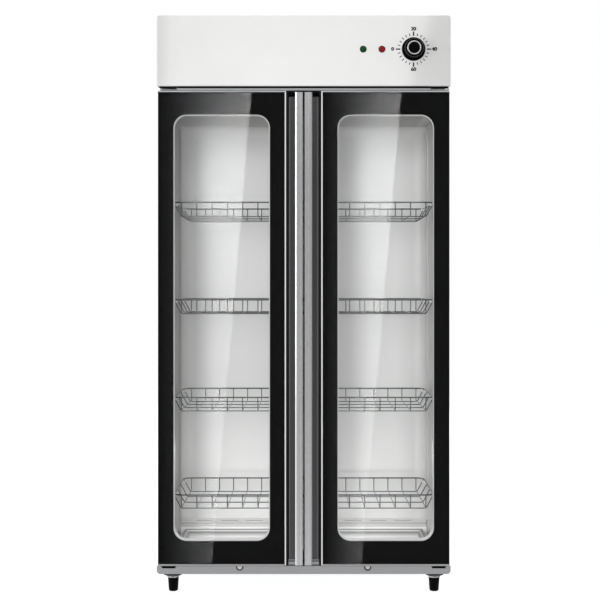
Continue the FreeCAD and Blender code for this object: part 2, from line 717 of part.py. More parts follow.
def lamp_holders():
    """Lamp barrels behind the fascia, clamped by hexagon nuts."""
    holders = []
    for x in (GREEN_X, RED_X):
        rear = V(x, FRONT + LAMP_STEM_LENGTH, CONTROL_Z)
        barrel = rod(rear, rear + V(0, 18, 0), LAMP_STEM, STEM_SIDES)
        nut = rod(rear + V(0, 1, 0), rear + V(0, 5, 0), LAMP_RADIUS + 3, 6)
        holders.append(barrel.fuse(nut))
    return holders


def terminal_block():
    """Screw terminals on the compartment floor, with a row of wire mouths."""
    x, y, z = 200.0, 40.0, TRAY_LEVEL + SHEET
    pitch, mouth, wall, way_count = 12.0, 6.0, 6.0, 7
    depth, height = 24.0, 20.0
    body = block((x, x + wall + pitch * way_count), (y, y + depth), (z, z + height))
    mouths = []
    for i in range(way_count):
        left = x + wall + pitch * i
        mouths.append(block((left, left + mouth), (y - 1, y + 7), (z + 5, z + 5 + mouth)))
    return body.cut(Part.makeCompound(mouths))


def ozone_generator():
    """Finned case of the ozone cell on the compartment floor."""
    x, y, z = (-220.0, -100.0), (0.0, 70.0), TRAY_LEVEL + SHEET
    height, fin_height, fin, pitch, fin_count = 32.0, 8.0, 4.0, 11.5, 10
    body = block(x, y, (z, z + height))
    fins = []
    for i in range(fin_count):
        left = x[0] + 5.0 + pitch * i
        fins.append(block((left, left + fin), (y[0] + 4, y[1] - 4),
                          (z + height, z + height + fin_height)))
    return fused([body] + fins)


def thermostat():
    """Bimetal cut-out that senses the chamber through the compartment floor."""
    foot = V(20, 60, TRAY_LEVEL + SHEET)
    return rod(foot, foot + V(0, 0, 12), 9.0, 12)


def door_sensors():
    """Two reed switches behind the face frame that sense the doors' magnets."""
    y = FACE + FACE_SHEET + SHEET
    z = TRAY_LEVEL + SHEET
    return both_sides(block((300, 350), (y, y + 10), (z, z + 12)))


def cable_gland():
    """Bush in the back panel that the mains lead passes through, with its inner nut."""
    base = V(GLAND_X, BACK, GLAND_Z)
    barrel = rod(base - V(0, GLAND_LENGTH, 0), base, GLAND_RADIUS, 12)
    nut = rod(base - V(0, GLAND_LENGTH, 0), V(GLAND_X, INNER_REAR, GLAND_Z), GLAND_RADIUS + 4, 6)
    bore = cylinder(GLAND_BORE, GLAND_LENGTH + 4, base - V(0, GLAND_LENGTH + 2, 0), Y_AXIS)
    return barrel.fuse(nut).cut(bore)


# ---- feet ------------------------------------------------------------------
def foot_places():
    return [(x, y) for y in FOOT_Y for x in (-FOOT_X, FOOT_X)]


def foot_sockets():
    """Chamfered plates under the base pan's corners that carry the studs."""
    half, corner = SOCKET_HALF, 10.0
    plates = []
    for x, y in foot_places():
        outline = []
        for sx, sy in ((1, 1), (-1, 1), (-1, -1), (1, -1)):
            a = V(x + sx * half, y + sy * (half - corner), SOCKET_LOW)
            b = V(x + sx * (half - corner), y + sy * half, SOCKET_LOW)
            outline += [a, b] if sx * sy > 0 else [b, a]
        plates.append(prism(outline, V(0, 0, BASE - SOCKET_LOW)))
    return plates


def foot_studs():
    """Steel studs standing down from the sockets, each with its lock ring."""
    studs = []
    for x, y in foot_places():
        ring_top = RING_LOW + RING_THICK
        stud = cylinder(STUD_RADIUS, RING_LOW - STUD_LOW, V(x, y, STUD_LOW))
        ring = rod(V(x, y, RING_LOW), V(x, y, ring_top), RING_RADIUS, CUP_SIDES)
        neck = rod(V(x, y, ring_top), V(x, y, SOCKET_LOW), STUD_RADIUS + 2, 6)
        studs.append(fused([stud, ring, neck]))
    return studs


def foot_cup(x, y):
    """Tapered foot with narrow flats to turn it by, with a twelve-sided bore round its stud."""
    cup = skinned([ring_of(V(0, 0, z), X_AXIS, Y_AXIS, radius, CUP_SIDES)
                   for z, radius in CUP_PROFILE])
    bore_radius = (STUD_RADIUS + STUD_CLEARANCE) / math.cos(math.pi / 12)
    bore = rod(V(0, 0, STUD_LOW - 0.5), V(0, 0, RING_LOW), bore_radius, 12)
    cup = cup.cut(bore)
    cup.translate(V(x, y, 0))
    return cup


# ---- doors, drawn for the right-hand side ----------------------------------
def door_glass():
    return block((GLASS_INNER, DOOR_OUTER), (FRONT, FRONT + GLASS),
                 (DOOR_BOTTOM + RAIL_LIP, DOOR_TOP - RAIL_LIP))


def window_cutter(shrink, y):
    x = (WINDOW_X[0] + shrink, WINDOW_X[1] - shrink)
    z = (WINDOW_Z[0] + shrink, WINDOW_Z[1] - shrink)
    return rounded_plate(x, y, z, (WINDOW_RADIUS - shrink,) * 4)


def door_print():
    """Black ceramic print on the glass's rear face, open at the window."""
    y = (FRONT + GLASS, FRONT + GLASS + PRINT)
    skin = block((GLASS_INNER, DOOR_OUTER), y, (DOOR_BOTTOM + RAIL_LIP, DOOR_TOP - RAIL_LIP))
    return skin.cut(window_cutter(0, (y[0] - 1, y[1] + 1)))


def door_frame():
    """Foamed inner frame behind the glass, with a thin lip round its window."""
    y = (FRONT + GLASS + PRINT, FRONT + DOOR_DEPTH)
    ring = block((GLASS_INNER, DOOR_OUTER), y, (DOOR_BOTTOM + RAIL_LIP, DOOR_TOP - RAIL_LIP))
    ring = ring.cut(window_cutter(WINDOW_LIP, (y[0] - 1, y[1] + 1)))
    pockets = [bush_pocket(low) for low in bush_levels()]
    return ring.cut(Part.makeCompound(pockets))


def rounding(centre, radius, start, stop, steps):
    """Points on an arc, in the handle's section, from one angle to another."""
    points = []
    for i in range(steps + 1):
        a = math.radians(start + (stop - start) * i / steps)
        points.append((centre[0] + radius * math.cos(a), centre[1] + radius * math.sin(a)))
    return points


def pull_front():
    """The pull bar's face: an eased meeting edge, fine flutes and a broad bevel to the groove."""
    inner, mouth = DOOR_INNER, DOOR_INNER + PULL_MOUTH[0]
    face = [(mouth, PULL_BEVEL_DROP), (mouth - PULL_BEVEL, 0)]
    for i in reversed(range(FLUTE_COUNT)):
        x = inner + FLUTE_START + i * FLUTE_PITCH
        face += [(x + FLUTE_WIDTH / 2, 0), (x, FLUTE_DEPTH), (x - FLUTE_WIDTH / 2, 0)]
    return face + [(inner + PULL_EASE, 0)]


def pull_section():
    """Section of the pull as (x, depth from the glass), for the right-hand door."""
    inner, outer, depth = DOOR_INNER, GLASS_INNER, DOOR_DEPTH
    mouth = (inner + PULL_MOUTH[0], inner + PULL_MOUTH[1])
    hook = inner + PULL_HOOK
    floor, bar = PULL_FLOOR, PULL_BAR
    lip = PULL_LIP_RADIUS
    seat = outer - 2 * lip
    section = [(inner, PULL_EASE), (inner, depth), (outer, depth)]
    section += rounding((outer - lip, lip), lip, 0, -180, 6)
    section += [(seat, PULL_SEAT), (mouth[1], PULL_SEAT)]
    for centre, radius, start, stop in (
            ((mouth[1] - FLOOR_BEND, floor - FLOOR_BEND), FLOOR_BEND, 0, 90),
            ((hook + HOOK_BEND, floor - HOOK_BEND), HOOK_BEND, 90, 180),
            ((hook + PULL_BEND, bar + PULL_BEND), PULL_BEND, 180, 270),
            ((mouth[0] - PULL_NOSE, bar - PULL_NOSE), PULL_NOSE, 90, 0)):
        section += rounding(centre, radius, start, stop, 3)
    return section + pull_front()


def door_handle():
    """Extruded full-height pull: a hooked finger groove between a fluted bar and a round lip."""
    profile = [V(x, FRONT + drop, DOOR_BOTTOM) for x, drop in pull_section()]
    handle = prism(profile, V(0, 0, DOOR_TOP - DOOR_BOTTOM))
    hook = DOOR_INNER + PULL_HOOK
    outer = DOOR_INNER + PULL_MOUTH[1]
    low, high = (DOOR_BOTTOM - 1, DOOR_BOTTOM + PULL_NOTCH), (DOOR_TOP - PULL_NOTCH, DOOR_TOP + 1)
    ends = [block((hook, outer), (FRONT + PULL_BAR + 1, FRONT + DOOR_DEPTH + 1), zone)
            for zone in (low, high)]
    return handle.cut(Part.makeCompound(ends))


def groove_strip():
    """Soft strip pressed into the seat along the groove's outer wall."""
    outer, inner = GLASS_INNER - 2 * PULL_LIP_RADIUS, DOOR_INNER + PULL_MOUTH[1]
    section = ((outer, PULL_LIP_RADIUS), (outer, PULL_SEAT), (inner, PULL_SEAT),
               (inner, 2 * PULL_LIP_RADIUS))
    outline = [V(x, FRONT + drop, DOOR_BOTTOM) for x, drop in section]
    return prism(outline, V(0, 0, DOOR_TOP - DOOR_BOTTOM))


def bush_levels():
    return (DOOR_BOTTOM, DOOR_TOP - PIN_REACH - 2)


def bush_pocket(low):
    """Square seat for a hinge bush, open at the door's hinge edge."""
    half = DOOR_OUTER - HINGE_X
    return block((HINGE_X - half, HINGE_X + half), (HINGE_Y - half, HINGE_Y + half),
                 (low, low + PIN_REACH + 2))


def door_bushes():
    """Nylon bushes at the door's ends, bored to run on the hinge pins."""
    bushes = []
    for low, bore_low in zip(bush_levels(), (DOOR_BOTTOM - 1, DOOR_TOP - PIN_REACH - 1)):
        bore = cylinder(PIN_RADIUS + PIN_CLEARANCE, PIN_REACH + 2, V(HINGE_X, HINGE_Y, bore_low))
        bushes.append(bush_pocket(low).cut(bore))
    return bushes


def door_rails():
    """Channels that cap the door's two ends, their lips flush with the glass."""
    pockets = Part.makeCompound([bush_pocket(low) for low in bush_levels()])
    rails = []
    for z in ((DOOR_BOTTOM, DOOR_BOTTOM + RAIL_LIP), (DOOR_TOP - RAIL_LIP, DOOR_TOP)):
        rail = block((GLASS_INNER, DOOR_OUTER), (FRONT, FRONT + DOOR_DEPTH), z)
        rails.append(rail.cut(pockets))
    return rails


def door_seals():
    """Magnetic bulb seal round the rear of the door, and the strip along the pull's groove."""
    y = (FRONT + DOOR_DEPTH, FRONT + DOOR_DEPTH + SEAL_DEPTH)
    width, edge, top_edge = 12.0, 6.0, 22.0
    x = (DOOR_INNER + 0.6, DOOR_OUTER - edge)
    z = (DOOR_BOTTOM + edge, DOOR_TOP - top_edge)
    between = (z[0] + width, z[1] - width)
    return [block(x, y, (z[0], z[0] + width)), block(x, y, (z[1] - width, z[1])),
            block((x[0], x[0] + width), y, between), block((x[1] - width, x[1]), y, between),
            groove_strip()]


def meeting_flap():
    """Soft flap on the right-hand door's meeting edge that closes the gap between the doors."""
    y = (FRONT + FLAP_DEPTH[0], FRONT + FLAP_DEPTH[1])
    return block((-FLAP_REACH, DOOR_INNER), y, (DOOR_BOTTOM, DOOR_TOP))


def save_door(side, place, flap=()):
    """Write one door's pieces; place puts a right-hand shape on its side."""
    pieces = {"glass": [door_glass()], "print": [door_print()], "inner_frame": [door_frame()],
              "handle": [door_handle()], "end_rails": door_rails(), "seal": door_seals() + list(flap),
              "hinge_bushes": door_bushes()}
    for name, shapes in pieces.items():
        save(side + "_door_" + name, *[place(shape) for shape in shapes])


# ---- the assembly ----------------------------------------------------------
def main():
    os.makedirs("parts", exist_ok=True)
    save("right_side_panel", side_panel())
    save("left_side_panel", mirrored(side_panel()))
    save("top_cover", top_cover())
    save("back_panel", back_panel())
    save("base_pan", base_pan())
    save("insulation", *insulation_boards())
    save("control_tray", control_tray())
    save("face_frame", *face_frame())
    save("header_panel", header_panel())
    save("top_rail", top_rail())
    save("sill", sill())
    save("sill_buffers", *sill_buffers())
    save("hinge_brackets", *hinge_brackets())
    save("hinge_pins", *hinge_pins())
    save("liner_sides", *liner_sides())
    save("liner_back", liner_back())
    save("liner_ceiling", liner_level(LINER_CEILING))
    save("liner_floor", liner_level(LINER_FLOOR - SHEET))
    save("rack_posts", *rack_posts())
    save("rack_hooks", *rack_hooks())
    for number, level in enumerate(rack_levels(), start=1):
        save("rack_" + str(number), *rack(level))
    save("drip_tray", drip_tray())
    save("heater_tubes", *heater_tubes())
    save("heater_sockets", *heater_sockets())
    save("heater_cover", heater_cover())
    save("timer_body", timer_body())
    save("timer_shaft", timer_shaft())
    save("timer_knob", *timer_knob())
    save("knob_ring", knob_ring())
    save("green_lamp", lamp_lens(GREEN_X))
    save("red_lamp", lamp_lens(RED_X))
    save("lamp_holders", *lamp_holders())
    save("terminal_block", terminal_block())
    save("ozone_generator", ozone_generator())
    save("thermostat", thermostat())
    save("door_sensors", *door_sensors())
    save("cable_gland", cable_gland())
    save("foot_sockets", *foot_sockets())
    save("foot_studs", *foot_studs())
    names = ("front_left", "front_right", "rear_left", "rear_right")
    for name, (x, y) in zip(names, foot_places()):
        save("foot_" + name, foot_cup(x, y))
    save_door("right", lambda shape: shape, [meeting_flap()])
    save_door("left", mirrored)


main()
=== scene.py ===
"""Looks for a two-door dish sterilizer cabinet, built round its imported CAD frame."""

import math

import bmesh
import bpy
from mathutils import Matrix, Vector

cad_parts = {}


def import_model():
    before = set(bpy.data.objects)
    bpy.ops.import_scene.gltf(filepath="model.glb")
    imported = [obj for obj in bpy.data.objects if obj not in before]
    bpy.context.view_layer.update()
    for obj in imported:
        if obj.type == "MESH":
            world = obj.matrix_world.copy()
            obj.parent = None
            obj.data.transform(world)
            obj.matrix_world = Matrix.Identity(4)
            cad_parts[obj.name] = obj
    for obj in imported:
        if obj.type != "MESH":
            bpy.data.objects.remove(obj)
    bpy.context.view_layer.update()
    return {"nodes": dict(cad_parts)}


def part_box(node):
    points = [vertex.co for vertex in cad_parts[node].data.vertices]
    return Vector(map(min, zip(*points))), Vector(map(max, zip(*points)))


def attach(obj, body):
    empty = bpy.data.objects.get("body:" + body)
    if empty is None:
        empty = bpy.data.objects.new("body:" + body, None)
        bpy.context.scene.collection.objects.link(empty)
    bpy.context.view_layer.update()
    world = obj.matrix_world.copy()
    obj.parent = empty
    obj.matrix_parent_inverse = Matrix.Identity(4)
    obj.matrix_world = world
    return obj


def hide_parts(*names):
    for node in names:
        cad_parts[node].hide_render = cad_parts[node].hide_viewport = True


MM = 0.001

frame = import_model()
nodes = frame["nodes"]


# ---- sizes taken from the CAD frame, in millimetres --------------------------
def span(node, axis):
    """The lowest and the highest coordinate of a CAD node along x, y or z."""
    return [round(getattr(corner, axis) / MM, 3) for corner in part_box(node)]


def middle(node, axis):
    """The coordinate half-way through a CAD node."""
    return round(sum(span(node, axis)) / 2, 3)


def drawn_in(node, axis, margin):
    """The span of a CAD node, made shorter by a margin at both ends."""
    low, high = span(node, axis)
    return low + margin, high - margin


FRONT = span("header_panel", "y")[0]
HEADER_SIDE = span("header_panel", "x")[1]
HEADER_BOTTOM = span("header_panel", "z")[0]
TOP_RAIL_SIDE = span("top_rail", "x")[1]
SILL_SIDE = span("sill", "x")[1]
SILL_TOP = span("sill", "z")[1]
CASE_SIDE = span("top_cover", "x")[1]
CASE_TOP = span("top_cover", "z")[1]
CASE_REAR = span("left_side_panel", "y")[1]
DOOR_BOTTOM, DOOR_TOP = span("right_door_handle", "z")
PULL_INNER, PULL_OUTER = span("right_door_handle", "x")
WALL_X = span("liner_back", "x")[1]
CEILING = span("liner_ceiling", "z")[0]
COVER_TOP = span("heater_cover", "z")[1]
TRAY_RIM = span("drip_tray", "z")[1]
SOCKET_FOOT = span("foot_sockets", "z")[0]
CONTROL_Z = middle("green_lamp", "z")

BUFFER_RADIUS = 12.75
BUFFER_CORE = 6.4
BUFFER_X = span("sill_buffers", "x")[1] - BUFFER_RADIUS
BUFFER_Z = span("sill_buffers", "z")[0] + BUFFER_RADIUS

KNOB_CENTRE = Vector((middle("timer_knob", "x"), FRONT, CONTROL_Z))
TOWARD = Vector((0, -1, 0))
REARWARD = Vector((0, 1, 0))
UP = Vector((0, 0, 1))


# ---- material helpers ---------------------------------------------------------
MATERIALS = {}
NOISE_DETAIL = 3.0


def linear(red, green, blue):
    """A colour given as 0 to 255 display values, made linear."""
    out = []
    for value in (red, green, blue):
        v = value / 255
        out.append(v / 12.92 if v <= 0.04045 else ((v + 0.055) / 1.055) ** 2.4)
    return out


def opaque(red, green, blue):
    """The same colour with its fourth value, as a shade needs it."""
    return linear(red, green, blue) + [1.0]


def grey(level):
    """A linear grey."""
    return (level, level, level, 1)


def scaled(colour, factor):
    """A linear colour made lighter or darker."""
    return [min(1.0, c * factor) for c in colour] + [1.0]


def even(scale):
    """A noise scale that is the same along all three axes."""
    return (scale, scale, scale)


def new_material(name):
    """A material with its node tree and its shader."""
    material = bpy.data.materials.new(name)
    material.use_nodes = True
    tree = material.node_tree
    return material, tree, tree.nodes["Principled BSDF"]


def noise(tree, scale):
    """A noise whose size is set by the stretch of its coordinates."""
    place = tree.nodes.new("ShaderNodeTexCoord")
    mapping = tree.nodes.new("ShaderNodeMapping")
    mapping.inputs["Scale"].default_value = scale
    tree.links.new(place.outputs["Object"], mapping.inputs["Vector"])
    node = tree.nodes.new("ShaderNodeTexNoise")
    node.inputs["Scale"].default_value = 1.0
    node.inputs["Detail"].default_value = NOISE_DETAIL
    tree.links.new(mapping.outputs["Vector"], node.inputs["Vector"])
    return node.outputs["Fac"]


def between(tree, value, low, high, start=0.3, stop=0.7):
    """Maps a value onto a range of numbers; the usual start and stop suit a noise."""
    node = tree.nodes.new("ShaderNodeMapRange")
    for key, number in (("From Min", start), ("From Max", stop), ("To Min", low), ("To Max", high)):
        node.inputs[key].default_value = number
    tree.links.new(value, node.inputs["Value"])
    return node.outputs["Result"]


def rises(tree, value, start, stop, most=1.0):
    """0 up to a start in millimetres, then rising to its most at a stop."""
    return between(tree, value, 0.0, most, start * MM, stop * MM)


def falls(tree, value, start, stop):
    """1 up to a start in millimetres, then falling to 0 at a stop."""
    return between(tree, value, 1.0, 0.0, start * MM, stop * MM)


def mixed_colour(tree, first, second):
    """A node that mixes two colours, each a list of values or a socket."""
    node = tree.nodes.new("ShaderNodeMix")
    node.data_type = "RGBA"
    for key, colour in (("A", first), ("B", second)):
        if isinstance(colour, bpy.types.NodeSocket):
            tree.links.new(colour, node.inputs[key])
        else:
            node.inputs[key].default_value = colour
    return node


def blend_colours(tree, patches, first, second):
    """Spreads two colours over a surface by the patches of a noise."""
    node = mixed_colour(tree, first, second)
    tree.links.new(between(tree, patches, 0.0, 1.0), node.inputs["Factor"])
    return node.outputs["Result"]


def bump(tree, height, strength, distance):
    """Relief from a noise; its distance is in millimetres."""
    node = tree.nodes.new("ShaderNodeBump")
    node.inputs["Strength"].default_value = strength
    node.inputs["Distance"].default_value = distance * MM
    tree.links.new(height, node.inputs["Height"])
    return node.outputs["Normal"]


def surface(name, colour, roughness, metallic=0.0, mottle=0.03, mottle_scale=even(9),
            spread=0.04, grain=even(300), relief=(0.1, 0.05), **sockets):
    """One finish: a mottled colour, uneven roughness and a fine relief."""
    material, tree, shader = new_material(name)
    MATERIALS[name] = material
    mottled = blend_colours(tree, noise(tree, mottle_scale), scaled(colour, 1 - mottle),
                            scaled(colour, 1 + mottle))
    fine = noise(tree, grain)
    uneven = between(tree, fine, roughness - spread, roughness + spread)
    tree.links.new(mottled, shader.inputs["Base Color"])
    tree.links.new(uneven, shader.inputs["Roughness"])
    tree.links.new(bump(tree, fine, *relief), shader.inputs["Normal"])
    shader.inputs["Metallic"].default_value = metallic
    for key, value in sockets.items():
        shader.inputs[key.replace("_", " ")].default_value = value
    return material


# ---- shading by place ---------------------------------------------------------
def position(tree):
    """The three coordinates of a point of the cabinet, as sockets."""
    place = tree.nodes.new("ShaderNodeTexCoord")
    split = tree.nodes.new("ShaderNodeSeparateXYZ")
    tree.links.new(place.outputs["Object"], split.inputs["Vector"])
    return split.outputs


def combined(tree, operation, *values):
    """One sum, product, largest or smallest value of its sockets."""
    node = tree.nodes.new("ShaderNodeMath")
    node.operation = operation
    for socket, value in zip(node.inputs, values):
        tree.links.new(value, socket)
    return node.outputs[0]


def offset_from(tree, value, centre):
    """How far a coordinate is from a centre given in millimetres, never negative."""
    node = tree.nodes.new("ShaderNodeMath")
    node.operation = "SUBTRACT"
    tree.links.new(value, node.inputs[0])
    node.inputs[1].default_value = centre * MM
    return combined(tree, "ABSOLUTE", node.outputs[0])


def shaded(material, share, shade):
    """Tints a finish towards a shade; share is made from the material's tree."""
    tree = material.node_tree
    shader = tree.nodes["Principled BSDF"]
    plain = shader.inputs["Base Color"].links[0].from_socket
    node = mixed_colour(tree, plain, shade)
    tree.links.new(share(tree), node.inputs["Factor"])
    tree.links.new(node.outputs["Result"], shader.inputs["Base Color"])
    return material


def deepened(material, clear, full, shade):
    """Tints a finish between two depths behind the doors' face, from none to all of a shade."""
    def share(tree):
        return rises(tree, position(tree)["Y"], FRONT + clear, FRONT + full)

    return shaded(material, share, shade)


# Each of these gives the share of a painted shade or painted light, from 0 to 1, at the points of
# the cabinet.
def painted_sill_shadow(tree):
    """The corner plates just below the sill, given a painted shadow."""
    return rises(tree, position(tree)["Z"], SOCKET_FOOT - 1.0, SOCKET_FOOT + 1.0)


def painted_light_right_wall(tree):
    """The chamber's right wall, with painted light added to what the key light gives."""
    return rises(tree, position(tree)["X"], WALL_X - 35.0, WALL_X - 25.0)


def painted_shade_coved_edges(tree):
    """Painted shade on the rear wall towards its coved sides and its top, never more than 0.4."""
    place = position(tree)
    across = combined(tree, "ABSOLUTE", place["X"])
    side = rises(tree, across, WALL_X - 95.0, WALL_X, most=0.4)
    top = rises(tree, place["Z"], CEILING - 62.0, CEILING - 2.0, most=0.3)
    return combined(tree, "MAXIMUM", side, top)


def painted_light_cover_ledges(tree):
    """Painted light on the flat top of the heater cover, and low on its slope, behind the tray."""
    level = position(tree)["Z"]
    top = rises(tree, level, COVER_TOP - 1.1, COVER_TOP - 0.6)
    foot = falls(tree, level, TRAY_RIM + 1.5, TRAY_RIM + 4.0)
    return combined(tree, "MAXIMUM", top, foot)


def painted_shade_cover_bead(tree):
    """Painted shade on the bent edge of the heater cover and all above it."""
    return rises(tree, position(tree)["Z"], COVER_TOP - 6.0, COVER_TOP - 4.0)


def painted_shade_tray_rim(tree):
    """Painted shade on the tray's rim, and in a soft line below it."""
    level = position(tree)["Z"]
    rim = rises(tree, level, TRAY_RIM - 3.0, TRAY_RIM - 2.0)
    low = rises(tree, level, TRAY_RIM - 21.0, TRAY_RIM - 10.0)
    high = falls(tree, level, TRAY_RIM - 6.5, TRAY_RIM - 4.5)
    return combined(tree, "MAXIMUM", rim, combined(tree, "MINIMUM", low, high))


def painted_shade_glass_seam(tree):
    """Painted shade on the face of the end rails, along the edge beside the glass."""
    place = position(tree)
    level = offset_from(tree, place["Z"], (DOOR_BOTTOM + DOOR_TOP) / 2)
    reach = (DOOR_TOP - DOOR_BOTTOM) / 2
    edge = falls(tree, level, reach - 2.9, reach - 2.3)
    face = falls(tree, place["Y"], FRONT + 3.0, FRONT + 4.0)
    return combined(tree, "MINIMUM", edge, face)


def painted_shade_buffer_rim(tree):
    """Painted shade on the outside of the door buffers, round their core."""
    place = position(tree)
    across = offset_from(tree, combined(tree, "ABSOLUTE", place["X"]), BUFFER_X)
    along = offset_from(tree, place["Z"], BUFFER_Z)
    square = combined(tree, "ADD", combined(tree, "MULTIPLY", across, across),
                      combined(tree, "MULTIPLY", along, along))
    return rises(tree, combined(tree, "SQRT", square), BUFFER_CORE, BUFFER_CORE + 0.6)


def painted_shade_window_flank(tree):
    """Painted shade in the depth of a door behind its window's lip, save for the window's bottom.
    """
    place = position(tree)
    behind = rises(tree, place["Y"], FRONT + 9.0, FRONT + 12.0)
    short = falls(tree, place["Y"], FRONT + 31.0, FRONT + 34.0)
    above = rises(tree, place["Z"], DOOR_BOTTOM + 89.0, DOOR_BOTTOM + 116.0)
    return combined(tree, "MINIMUM", combined(tree, "MINIMUM", behind, short), above)


def painted_shade_meeting_edge(tree):
    """Painted shade on the flanks of the gap between the doors, and on the bars' upper ends."""
    place = position(tree)
    across = combined(tree, "ABSOLUTE", place["X"])
    gap = falls(tree, across, PULL_INNER + 0.3, PULL_INNER + 1.0)
    upper = rises(tree, place["Z"], DOOR_TOP - 3.2, DOOR_TOP - 2.6)
    bars = falls(tree, across, PULL_OUTER - 10.5, PULL_OUTER - 9.5)
    return combined(tree, "MAXIMUM", gap, combined(tree, "MINIMUM", upper, bars))


# ---- enamels ------------------------------------------------------------------
def white_enamel():
    """Satin white stoved enamel of the casing and the fascia."""
    surface("white_enamel", linear(240, 240, 239), roughness=0.32, mottle=0.008, grain=even(420),
            relief=(0.06, 0.05))


def grey_enamels():
    """Satin grey of the sill and top rail, and a darker one for the frame behind them."""
    fine = {"mottle": 0.02, "grain": even(700), "relief": (0.12, 0.05)}
    surface("grey_enamel", linear(178, 179, 182), roughness=0.38, metallic=0.25, **fine)
    surface("frame_enamel", linear(120, 121, 123), roughness=0.4, metallic=0.2, **fine)


def door_enamel():
    """White moulded skin of the inner door frames, with painted shade behind the window's lip."""
    skin = surface("door_enamel", linear(232, 232, 230), roughness=0.35, mottle=0.01,
                   grain=even(420), relief=(0.06, 0.05))
    shaded(skin, painted_shade_window_flank, opaque(150, 150, 149))


# ---- the chamber's brushed steel ----------------------------------------------
def brushed(name, level, grain=(15, 15, 700)):
    """Brushed stainless steel; its lines run square to the axis along which the grain is finest."""
    return surface(name, linear(level, level, level - 1), roughness=0.42, metallic=0.3, mottle=0.02,
                   mottle_scale=(2, 2, 4), grain=grain, relief=(0.08, 0.04))


def liner_shade():
    """Side walls, ceiling and posts: painted shade towards the doors, painted light on the right
    wall.
    """
    steel = deepened(brushed("liner_shade", 176), clear=390.0, full=60.0,
                     shade=opaque(124, 124, 123))
    shaded(steel, painted_light_right_wall, opaque(194, 194, 193))


def rear_wall():
    """The pressed rear wall, with painted shade towards its coved edges."""
    shaded(brushed("rear_wall", 226), painted_shade_coved_edges, opaque(176, 176, 175))


def cover_steel():
    """The heater cover, with a painted shade line on its bend and painted light on its flat top and
    low on its slope.
    """
    steel = shaded(brushed("cover_steel", 196), painted_shade_cover_bead, opaque(168, 168, 167))
    shaded(steel, painted_light_cover_ledges, opaque(236, 236, 235))


def tray_steel():
    """The drip tray, brushed from side to side, with painted shade on its rim and below it."""
    steel = brushed("tray_steel", 222, grain=(15, 700, 15))
    shaded(steel, painted_shade_tray_rim, opaque(140, 140, 139))


# ---- other metals -------------------------------------------------------------
def galvanised(name, colour):
    """Zinc coating with its spangle."""
    return surface(name, colour, roughness=0.42, metallic=0.8, mottle=0.12, mottle_scale=even(60),
                   spread=0.1)


def corner_steel():
    """The corner plates, painted nearly black as the sill's shadow."""
    shaded(galvanised("corner_steel", linear(170, 172, 174)), painted_sill_shadow, grey(0.03))


def hardware():
    """Zinc-plated small parts, chrome, the baskets' wire and the cast electrical units."""
    surface("zinc_hardware", linear(196, 198, 200), roughness=0.3, metallic=0.95, mottle=0.05,
            mottle_scale=even(90), spread=0.08)
    surface("chrome", linear(212, 214, 216), roughness=0.12, metallic=1.0, mottle=0.02, spread=0.03,
            relief=(0.03, 0.02))
    surface("rack_wire", linear(132, 133, 135), roughness=0.2, metallic=1.0, mottle=0.05,
            mottle_scale=even(30), spread=0.05, relief=(0.05, 0.03))
    surface("cast_alloy", linear(150, 152, 154), roughness=0.55, metallic=0.7, mottle=0.08)


def aluminium():
    """Anodised end rails, brushed along their length, with painted shade along the seam beside the
    glass.
    """
    rails = surface("aluminium", linear(236, 236, 237), roughness=0.3, metallic=0.35, mottle=0.03,
                    mottle_scale=(0.6, 260, 260), grain=(4, 900, 900), relief=(0.1, 0.05))
    shaded(rails, painted_shade_glass_seam, grey(0.012))


def pull_aluminium():
    """The extruded pulls, streaked from end to end, with painted shade in the groove, at the gap
    and at the bars' upper ends.
    """
    streak, fine = (170, 170, 0.0), (120, 120, 0.0)
    pull = surface("pull_aluminium", linear(238, 238, 240), roughness=0.24, metallic=1.0,
                   mottle=0.14, mottle_scale=streak, grain=fine, relief=(0.0, 0.0), spread=0.02)
    deepened(pull, clear=5.0, full=21.0, shade=(0.13, 0.13, 0.133, 1))
    shaded(pull, painted_shade_meeting_edge, grey(0.012))


# ---- glass, print, rubber and plastic -------------------------------------------
def toughened_glass():
    """Clear pane: mostly see-through, with a faint reflection where a ray enters it."""
    refraction = 1.18
    material, tree, shader = new_material("toughened_glass")
    MATERIALS["glass"] = material
    tree.nodes.remove(shader)
    out = tree.nodes["Material Output"]
    film = noise(tree, (3.0, 3.0, 2.0))
    through = tree.nodes.new("ShaderNodeBsdfTransparent")
    tint = blend_colours(tree, film, (0.962, 0.965, 0.965, 1), (0.978, 0.98, 0.98, 1))
    tree.links.new(tint, through.inputs["Color"])
    mirror = tree.nodes.new("ShaderNodeBsdfGlossy")
    tree.links.new(between(tree, film, 0.001, 0.0034), mirror.inputs["Roughness"])
    rim = tree.nodes.new("ShaderNodeFresnel")
    rim.inputs["IOR"].default_value = refraction
    face = tree.nodes.new("ShaderNodeNewGeometry")
    shine = tree.nodes.new("ShaderNodeMix")
    tree.links.new(face.outputs["Backfacing"], shine.inputs["Factor"])
    tree.links.new(rim.outputs["Fac"], shine.inputs["A"])
    shine.inputs["B"].default_value = 0.0
    mix = tree.nodes.new("ShaderNodeMixShader")
    tree.links.new(shine.outputs["Result"], mix.inputs["Fac"])
    tree.links.new(through.outputs["BSDF"], mix.inputs[1])
    tree.links.new(mirror.outputs["BSDF"], mix.inputs[2])
    tree.links.new(mix.outputs["Shader"], out.inputs["Surface"])


def black_print():
    """Black ceramic print fired on the rear of the glass."""
    surface("black_print", linear(17, 17, 18), roughness=0.6, mottle=0.1, spread=0.03,
            relief=(0.02, 0.02), Specular_IOR_Level=0.02)


